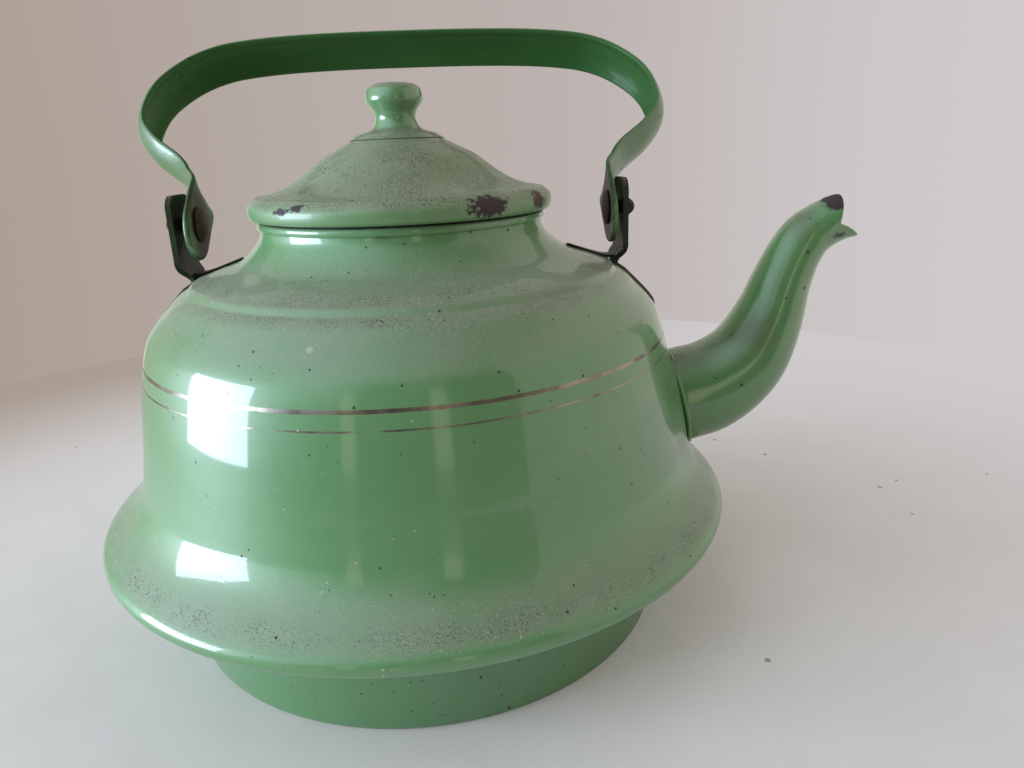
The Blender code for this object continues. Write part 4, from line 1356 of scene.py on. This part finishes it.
def ring_effect():
    """a thin painted ring at one height, worn through here and there"""
    group, wires, given, out = effect(
        "painted_ring",
        (
            ("Height", "Float", 0.1),
            ("Half width", "Float", 0.0008),
            ("Wear", "Float", 0.4),
            ("Scale", "Float", 60.0),
        ),
        (("Mask", "Float"), ("Tarnish", "Float")),
    )
    place = wires.place()
    height = wires.parts(place)[2]
    hand = wires.sway(place, scale=35.0)
    true = wires.calc("MULTIPLY_ADD", hand, RING_WANDER, height)
    away = wires.calc("ABSOLUTE", wires.calc("SUBTRACT", true, given["Height"]))
    nibbled = wires.noise(place, scale=900.0, detail=3.0, roughness=0.7)
    ragged = wires.ramp(nibbled, low=0.3, high=0.6, start=0.8, stop=1.05)
    painted = wires.calc("LESS_THAN", away, wires.times(given["Half width"], ragged))
    rubbed = wires.noise(place, given["Scale"], detail=5.0, roughness=0.75)
    kept = wires.ramp(wires.calc("SUBTRACT", rubbed, given["Wear"]), low=-0.03, high=0.04)
    wires.feed(out["Mask"], wires.times(painted, kept))
    wires.feed(out["Tarnish"], wires.noise(place, scale=90.0, detail=4.0, roughness=0.65))
    return group


def backdrop_effect():
    """colour of the plain backdrop, a little warmer and darker to the left than to the right"""
    group, wires, given, out = effect(
        "backdrop_tone", (("Direction", "Vector", (0, 1, 0)),), (("Colour", "Color"),)
    )
    across = wires.parts(wires.vector("NORMALIZE", given["Direction"]).outputs[0])[0]
    left = wires.blend(wires.ramp(across, low=-0.7, high=0.05), BACKDROP_LEFT, BACKDROP_MIDDLE)
    right = wires.ramp(across, low=0.0, high=0.6)
    wires.feed(out["Colour"], wires.blend(right, left, BACKDROP_RIGHT))
    return group


GLAZE = glaze_effect()
DUST_COAT = dust_effect()
GRIT = grit_effect()
PATCH = patch_effect()
RING = ring_effect()
BACKDROP = backdrop_effect()


# Finishes


class Finish:
    """layers of one material, laid one over another from the glaze up"""

    def __init__(self, name, tints, rough, coat, shine=GLAZE_SHINE):
        made = bpy.data.materials.new(name)
        made.use_nodes = True
        self.material = made
        self.wires = Wiring(made.node_tree)
        self.shader = made.node_tree.nodes["Principled BSDF"]
        colour, thin_colour = tints
        glazed = self.wires.use(GLAZE, Colour=colour, Thin_colour=thin_colour)
        self.colour = glazed["Colour"]
        self.height = glazed["Ripple"]
        self.rough = rough
        self.coat = coat
        self.shine = shine
        self.metal = None

    def layer(self, mask, colour, rough, coat=0.0, depth=0.0):
        """a colour laid on by a mask, with its own roughness, and sunk or raised"""
        wires = self.wires
        self.colour = wires.blend(mask, self.colour, colour)
        self.rough = self.mixed(mask, self.rough, rough)
        self.coat = self.mixed(mask, self.coat, coat)
        if depth:
            self.height = wires.calc("MULTIPLY_ADD", mask, depth, self.height)

    def mixed(self, mask, under, over):
        """a value that changes with a mask, or stays plain where both are the same"""
        if under == over:
            return under
        node = self.wires.add("ShaderNodeMix", data_type="FLOAT")
        for place, value in ((0, mask), (2, under), (3, over)):
            self.wires.feed(node.inputs[place], value)
        return node.outputs[0]

    def patch(self, place, reach, ragged, scale, softness):
        """a ragged spot at one place"""
        return self.wires.use(
            PATCH, Place=place, Reach=reach, Ragged=ragged, Scale=scale, Softness=softness
        )

    def chip(self, place, reach, colour, ragged, scale):
        """enamel broken off down to the rusty sheet, with a faint dark rim"""
        broken = self.patch(place, reach, ragged, scale, CHIP_SOFTNESS)
        rim = self.wires.times(broken["Rim"], CHIP_RIM)
        self.layer(rim, DARK_BROWN, rough=0.5, coat=0.2)
        self.layer(broken["Mask"], colour, rough=0.75, depth=-2.5)

    def stain(self, place, reach, colour, strength, ragged=1.4, scale=120.0, softness=0.9):
        """a smear that lies on the enamel"""
        smear = self.patch(place, reach, ragged, scale, softness)
        self.layer(self.wires.times(smear["Mask"], strength), colour, rough=0.6, coat=0.1)

    def ring(self, height, half_width, wear, scale, strength):
        """a gilt ring, tarnished in patches and worn through"""
        line = self.wires.use(RING, Height=height, Half_width=half_width, Wear=wear, Scale=scale)
        bright = self.wires.ramp(line["Tarnish"], low=0.3, high=0.62)
        mask = self.wires.times(line["Mask"], strength)
        self.layer(mask, self.wires.blend(bright, TARNISH, GILT), rough=0.30, coat=0.2, depth=0.2)
        metal = self.wires.times(mask, GILT_METAL)
        self.metal = self.wires.calc("MAXIMUM", metal, self.metal) if self.metal else metal

    def seam(self, height, half_width):
        """a dark line painted as the shade in a joint"""
        line = self.wires.use(RING, Height=height, Half_width=half_width, Wear=0.1, Scale=200.0)
        # Dark brown painted as shade in the joint
        self.layer(line["Mask"], DARK_BROWN, rough=0.8)

    def grit(self, scale, share, colour, cover=1.0):
        """grains of one colour: how fine, how many, and a mask for where"""
        mask = self.wires.use(GRIT, Scale=scale, Share=share, Cover=cover)["Mask"]
        self.layer(mask, colour, rough=0.8, depth=0.8)

    def dusty(self, start, full, amount, colour=DUST, where=1.0, gather=1.0):
        """settled dust, kept to one mask, and its dark grains kept to another"""
        lying = self.wires.use(DUST_COAT, Start=start, Full=full, Amount=amount)
        mask = self.wires.times(lying["Mask"], where)
        grains = self.wires.times(lying["Specks"], gather)
        self.layer(mask, colour, rough=0.75, coat=0.1, depth=0.15)
        self.layer(grains, BROWN, rough=0.9, depth=0.5)
        self.layer(lying["Pale specks"], PALE_DUST, rough=0.9, depth=0.5)
        return mask

    def height_ramp(self, low, high, start=0.0, stop=1.0):
        """a mask that rises or falls with the height above the table"""
        return self.wires.ramp(self.wires.parts(self.wires.place())[2], low, high, start, stop)

    def band(self, height, reach):
        """a soft level band round the piece"""
        below = self.height_ramp(height - reach, height)
        above = self.height_ramp(height, height + reach, start=1.0, stop=0.0)
        return self.wires.times(below, above)

    def done(self, relief):
        """joins the layers to the shader, with the depth of the relief in metres"""
        wires, inputs = self.wires, self.shader.inputs
        wires.feed(inputs["Base Color"], self.colour)
        wires.feed(inputs["Roughness"], self.rough)
        wires.feed(inputs["Coat Weight"], self.coat)
        if self.metal:
            wires.feed(inputs["Metallic"], self.metal)
        inputs["Coat Roughness"].default_value = COAT_ROUGHNESS
        inputs["IOR"].default_value = ENAMEL_IOR
        inputs["Specular IOR Level"].default_value = self.shine
        bump = wires.add("ShaderNodeBump")
        bump.inputs["Strength"].default_value = 1.0
        bump.inputs["Distance"].default_value = relief
        wires.feed(bump.inputs["Height"], self.height)
        wires.feed(inputs["Normal"], bump.outputs[0])
        return self.material


def body_dust(made):
    """dust above the bead and below the neck, with dark grains where it gathers"""
    wires = made.wires
    above_bead = made.height_ramp(*BEAD_DUST_EDGE)
    below_neck = made.height_ramp(*NECK_DUST_EDGE, start=1.0, stop=0.2)
    gather = DUST_GATHER_LEAST
    for height, reach in DUST_BANDS:
        gather = wires.calc("MAXIMUM", made.band(height, reach), gather)
    where = wires.times(above_bead, below_neck)
    lying = made.dusty(start=0.36, full=0.95, amount=0.75, where=where, gather=gather)
    return wires.times(lying, gather)


def body_enamel():
    """mid green and glossy, with two gilt rings, old stains and settled dust"""
    made = Finish("body_enamel", (GREEN, LIGHT_GREEN), rough=0.42, coat=0.8)
    for ring in GILT_RINGS:
        made.ring(*ring)
    # Painted shade line where the lid sits on the brim
    made.seam(BRIM_HEIGHT, BRIM_SHADE_LINE)
    for stain in BODY_STAINS:
        made.stain(*stain)
    thick = body_dust(made)
    made.stain(*DUST_CLOT)
    made.grit(760.0, 0.20, DARK_BROWN, cover=thick)
    made.grit(820.0, 0.02, DARK_BROWN)
    made.grit(900.0, 0.02, PALE_DUST)
    return made.done(relief=0.00016)


def base_enamel():
    """a little duller green, darkened as painted shade under the flange"""
    made = Finish("base_enamel", BASE_SHADE_GREENS, rough=0.34, coat=0.7)
    made.grit(640.0, 0.03, DARK_BROWN)
    made.grit(900.0, 0.03, BROWN)
    return made.done(relief=0.00022)


def spout_enamel():
    """green browned by handling, with its chipped mouth"""
    made = Finish("spout_enamel", SPOUT_GREENS, rough=0.3, coat=0.8)
    for stain in SPOUT_STAINS:
        made.stain(*stain)
    lying = made.dusty(start=0.62, full=1.0, amount=0.6)
    made.grit(800.0, 0.07, DARK_BROWN, cover=lying)
    made.grit(560.0, 0.015, DARK_BROWN)
    made.chip(*MOUTH_CHIP)
    made.stain(*BEAK_STAIN)
    return made.done(relief=0.0002)


def ear_enamel():
    """nearly black with grease and soot, and olive on the leaves"""
    made = Finish("ear_enamel", EAR_BLACKS, rough=0.58, coat=0.1, shine=GREASY_SHINE)
    leaves = made.height_ramp(*LEAF_TONE_EDGE, start=1.0, stop=0.0)
    made.layer(leaves, LEAF_OLIVE, rough=0.6)
    made.dusty(start=0.3, full=1.0, amount=0.85, colour=LEAF_DIRT)
    made.grit(420.0, 0.10, RUST_SPECK)
    made.grit(700.0, 0.08, DEEP_GREEN)
    return made.done(relief=0.0003)


def bail_enamel():
    """darker green of the bow's outside"""
    made = Finish("bail_enamel", BAIL_GREENS, rough=0.38, coat=0.3)
    lying = made.dusty(start=0.60, full=1.05, amount=0.45)
    made.grit(700.0, 0.10, DARK_BROWN, cover=lying)
    made.grit(380.0, 0.05, DARK_BROWN)
    lobes_grease_and_shade(made)
    return made.done(relief=0.0002)


def bail_hollow_shade_enamel():
    """deep dull green in the hollow of the bow, its darkness painted shade"""
    made = Finish("bail_hollow_shade_enamel", BAIL_HOLLOW_SHADE_GREENS, 0.48, 0.08, shine=GREASY_SHINE)
    made.grit(600.0, 0.03, DARK_BROWN)
    lobes_grease_and_shade(made)
    return made.done(relief=0.0002)


def lobes_grease_and_shade(made):
    """old grease and rust round both pivots, made darker still as painted shade"""
    for side in (-1, 1):
        place = (side * LOBE_DISTANCE, 0.0, PIVOT_HEIGHT)
        made.stain(place, LOBE_GREASE_AND_SHADE_REACH, GREASE_AND_SHADE, 0.94, ragged=1.0, scale=200.0, softness=0.5)


def rivet_steel():
    """rusty steel, rubbed bare in places"""
    made = Finish("rivet_steel", (RUST_BLACK, STEEL), rough=0.66, coat=0.0, shine=GREASY_SHINE)
    made.grit(500.0, 0.25, DARK_BROWN)
    bared = made.wires.noise(made.wires.place(), scale=300.0, detail=3.0)
    made.metal = made.wires.ramp(bared, low=0.5, high=0.7, start=0.0, stop=0.6)
    return made.done(relief=0.0004)


def lid_enamel():
    """paler green under thick dust, chipped along the rim"""
    made = Finish("lid_enamel", LID_GREENS, rough=0.42, coat=0.35)
    # Painted shade line along the lid's lower edge
    made.seam(LID_BASE, LID_SHADE_LINE)
    lying = made.dusty(start=-0.12, full=0.86, amount=0.76, colour=LID_DUST)
    made.grit(800.0, 0.14, DARK_BROWN, cover=lying)
    for chip in LID_CHIPS:
        made.chip(*chip)
    made.stain(*LID_STAIN)
    return made.done(relief=0.00018)


def collar_enamel():
    """cleaner green of the hidden ring"""
    made = Finish("collar_enamel", (GREEN, DEEP_GREEN), rough=0.3, coat=0.5)
    made.grit(600.0, 0.04, DARK_BROWN)
    return made.done(relief=0.0002)


def knob_enamel():
    """paler green, with a painted shade line where the skirt meets the dome"""
    made = Finish("knob_enamel", KNOB_GREENS, rough=0.28, coat=0.7)
    lying = made.dusty(start=0.45, full=1.0, amount=0.8, colour=KNOB_DUST)
    made.grit(800.0, 0.16, DARK_BROWN, cover=lying)
    skirt = height_at(lid_dome_line(), KNOB_SKIRT_RADIUS) + SEAT_GAP
    # Painted shade line at the foot of the skirt
    made.seam(skirt + KNOB_SHADE_LINE_RISE, KNOB_SHADE_LINE)
    return made.done(relief=0.00018)


# Studio


def floor_finish():
    """pale painted board under the kettle that fades out into the backdrop"""
    made = Finish("pale_floor", (FLOOR_PALE, FLOOR_WORN), rough=0.75, coat=0.0, shine=FLOOR_SHINE)
    made.grit(260.0, 0.006, FLOOR_CRUMB)
    material = made.done(relief=0.0002)
    wires = made.wires
    place = wires.place()
    far = wires.vector("LENGTH", place).outputs["Value"]
    away = wires.ramp(far, FLOOR_FADE_START, FLOOR_FADE_END)
    glow = wires.add("ShaderNodeEmission")
    wires.feed(glow.inputs[0], wires.use(BACKDROP, Direction=place)["Colour"])
    lift = wires.add("ShaderNodeEmission")
    wires.feed(lift.inputs[0], FLOOR_PALE)
    path = wires.add("ShaderNodeLightPath")
    wires.feed(lift.inputs[1], wires.times(path.outputs["Is Camera Ray"], FLOOR_LIFT))
    lifted = wires.add("ShaderNodeAddShader")
    wires.feed(lifted.inputs[0], made.shader.outputs[0])
    wires.feed(lifted.inputs[1], lift.outputs[0])
    mix = wires.add("ShaderNodeMixShader")
    wires.feed(mix.inputs[0], away)
    wires.feed(mix.inputs[1], lifted.outputs[0])
    wires.feed(mix.inputs[2], glow.outputs[0])
    output = material.node_tree.nodes["Material Output"]
    wires.feed(output.inputs[0], mix.outputs[0])
    return material


def floor():
    """round board that the kettle stands on"""
    bm = bmesh.new()
    bmesh.ops.create_circle(bm, cap_ends=True, segments=FLOOR_FACETS, radius=FLOOR_RADIUS)
    board = add_object("floor", bm)
    board.data.materials.append(floor_finish())


def direction(azimuth, elevation):
    """unit vector towards an azimuth, clockwise from +Y, and an elevation"""
    level = math.cos(elevation)
    return Vector((math.sin(azimuth) * level, math.cos(azimuth) * level, math.sin(elevation)))


def soft_box(name, place, size, power, colour):
    """a rectangular lamp at a place, turned to the kettle"""
    lamp = bpy.data.lights.new(name, "AREA")
    lamp.shape = "RECTANGLE"
    lamp.size, lamp.size_y = size
    lamp.energy = power
    lamp.color = colour
    shown = bpy.data.objects.new(name, lamp)
    bpy.context.scene.collection.objects.link(shown)
    shown.location = place
    shown.rotation_mode = "QUATERNION"
    shown.rotation_quaternion = place.to_track_quat("Z", "Y")
    shown.visible_camera = False


def lamps():
    """an upright window to the left, beyond the edge of the floor"""
    window = direction(WINDOW_AZIMUTH, 0) * WINDOW_DISTANCE
    window.z = WINDOW_SILL + WINDOW_HEIGHT / 2
    soft_box("window", window, (WINDOW_WIDTH, WINDOW_HEIGHT), WINDOW_POWER, WINDOW_LIGHT)


def with_doors(wires, room, x, y, z):
    """the room with light coming through two narrow upright openings"""
    turn = wires.calc("ARCTAN2", x, y)
    off_middle = wires.calc("ABSOLUTE", wires.calc("SUBTRACT", z, DOOR_MIDDLE))
    level = wires.ramp(off_middle, *DOOR_REACH, start=1.0, stop=0.0)
    for azimuth, half in DOOR_STREAKS:
        aside = wires.calc("ABSOLUTE", wires.calc("SUBTRACT", turn, azimuth))
        streak = wires.ramp(aside, half / 2, half, start=1.0, stop=0.0)
        room = wires.blend(wires.times(streak, level), room, DOOR_LIGHT)
    return room


def room_tone(wires, way):
    """what the kettle mirrors in each direction"""
    x, y, z = wires.parts(way)
    behind_kettle = wires.ramp(y, low=-0.35, high=0.25)
    room = wires.blend(behind_kettle, ROOM_DARK, ROOM_BEHIND)
    room = wires.blend(wires.ramp(z, low=0.45, high=0.85), room, ROOM_OVERHEAD)
    room = with_doors(wires, room, x, y, z)
    towards_wall = wires.calc("MULTIPLY_ADD", y, WALL_TURN, x)
    to_right = wires.ramp(towards_wall, low=0.10, high=0.14)
    below_ceiling = wires.ramp(z, low=0.70, high=0.85, start=1.0, stop=0.0)
    room = wires.blend(wires.times(to_right, below_ceiling), room, ROOM_RIGHT)
    sky = tuple(direction(SKY_AZIMUTH, SKY_ELEVATION))
    near_sky = wires.vector("DOT_PRODUCT", way, sky).outputs["Value"]
    return wires.blend(wires.ramp(near_sky, low=0.62, high=1.0), room, SKY_LIGHT)


def studio_world():
    """soft room round the kettle: pale to the right, dim behind the camera, light overhead"""
    world = bpy.data.worlds.new("studio")
    world.use_nodes = True
    bpy.context.scene.world = world
    tree = world.node_tree
    tree.nodes.clear()
    wires = Wiring(tree)
    way = wires.add("ShaderNodeTexCoord").outputs["Generated"]
    room = room_tone(wires, way)
    backdrop = wires.use(BACKDROP, Direction=way)["Colour"]
    path = wires.add("ShaderNodeLightPath")
    light = wires.add("ShaderNodeBackground")
    wires.feed(light.inputs[0], wires.blend(path.outputs["Is Camera Ray"], room, backdrop))
    output = wires.add("ShaderNodeOutputWorld")
    wires.feed(output.inputs[0], light.outputs[0])


def camera():
    """camera at the photograph's place, turn and lens"""
    lens = bpy.data.cameras.new("camera")
    lens.lens = CAMERA_LENS
    lens.sensor_width = CAMERA_SENSOR
    lens.clip_start = CAMERA_NEAREST
    shown = bpy.data.objects.new("camera", lens)
    bpy.context.scene.collection.objects.link(shown)
    forward = direction(CAMERA_YAW, -CAMERA_PITCH)
    level = Vector((math.cos(CAMERA_YAW), -math.sin(CAMERA_YAW), 0))
    lift = level.cross(forward)
    right = level * math.cos(CAMERA_ROLL) + lift * math.sin(CAMERA_ROLL)
    up = lift * math.cos(CAMERA_ROLL) - level * math.sin(CAMERA_ROLL)
    turn = Matrix((right, up, -forward)).transposed().to_4x4()
    shown.matrix_world = Matrix.Translation(CAMERA_PLACE) @ turn
    bpy.context.scene.camera = shown


# The kettle put together


def mark_shaded_hollow_faces(piece):
    """gives the hollow side of the bow its second material, the one darkened as painted shade"""
    turn = Matrix.Rotation(BAIL_LEAN, 3, "X")
    for face in piece.data.polygons:
        place = turn @ (face.center - Vector((BAIL_OFFSET, 0, PIVOT_HEIGHT)))
        facing = turn @ face.normal
        inward = Vector((-place.x, 0, BAIL_RISE / 2 - place.z))
        face.material_index = 1 if facing.dot(inward) > 0 else 0


def kettle():
    """every visible piece, on its body and in place of its plain solid"""
    finish_piece(body_shell(), "kettle", "body_enamel", [body_enamel()], "body_shell")
    finish_piece(base_pan(), "kettle", "base_enamel", [base_enamel()], "base_pan")
    pouring = spout_enamel()
    finish_piece(spout(), "kettle", "spout_enamel", [pouring], "spout")
    finish_piece(root_weld(), "kettle", "spout_enamel", [pouring])
    strap = ear_enamel()
    rivet = rivet_steel()
    for end, side in (("rear", -1), ("front", 1)):
        lug = finish_piece(ear(end + "_lug", side), "kettle", "ear_enamel", [strap], end + "_ear")
        even_normals(lug)
        peg = pivot_rivet(end + "_rivet", side)
        finish_piece(peg, "kettle", "rivet_steel", [rivet], end + "_pivot_rivet")
    bow = bail_handle()
    # The bow's second material paints shade into its hollow side
    finish_piece(bow, "bail", "bail_enamel", [bail_enamel(), bail_hollow_shade_enamel()], "bail_handle")
    mark_shaded_hollow_faces(bow)
    finish_piece(lid_shell(), "lid", "lid_enamel", [lid_enamel()], "lid_shell")
    finish_piece(lid_collar(), "lid", "collar_enamel", [collar_enamel()], "lid_collar")
    finish_piece(lid_knob(), "lid", "knob_enamel", [knob_enamel()], "lid_knob")


kettle()
floor()
lamps()
studio_world()
camera()
bpy.context.scene.view_settings.view_transform = "Standard"
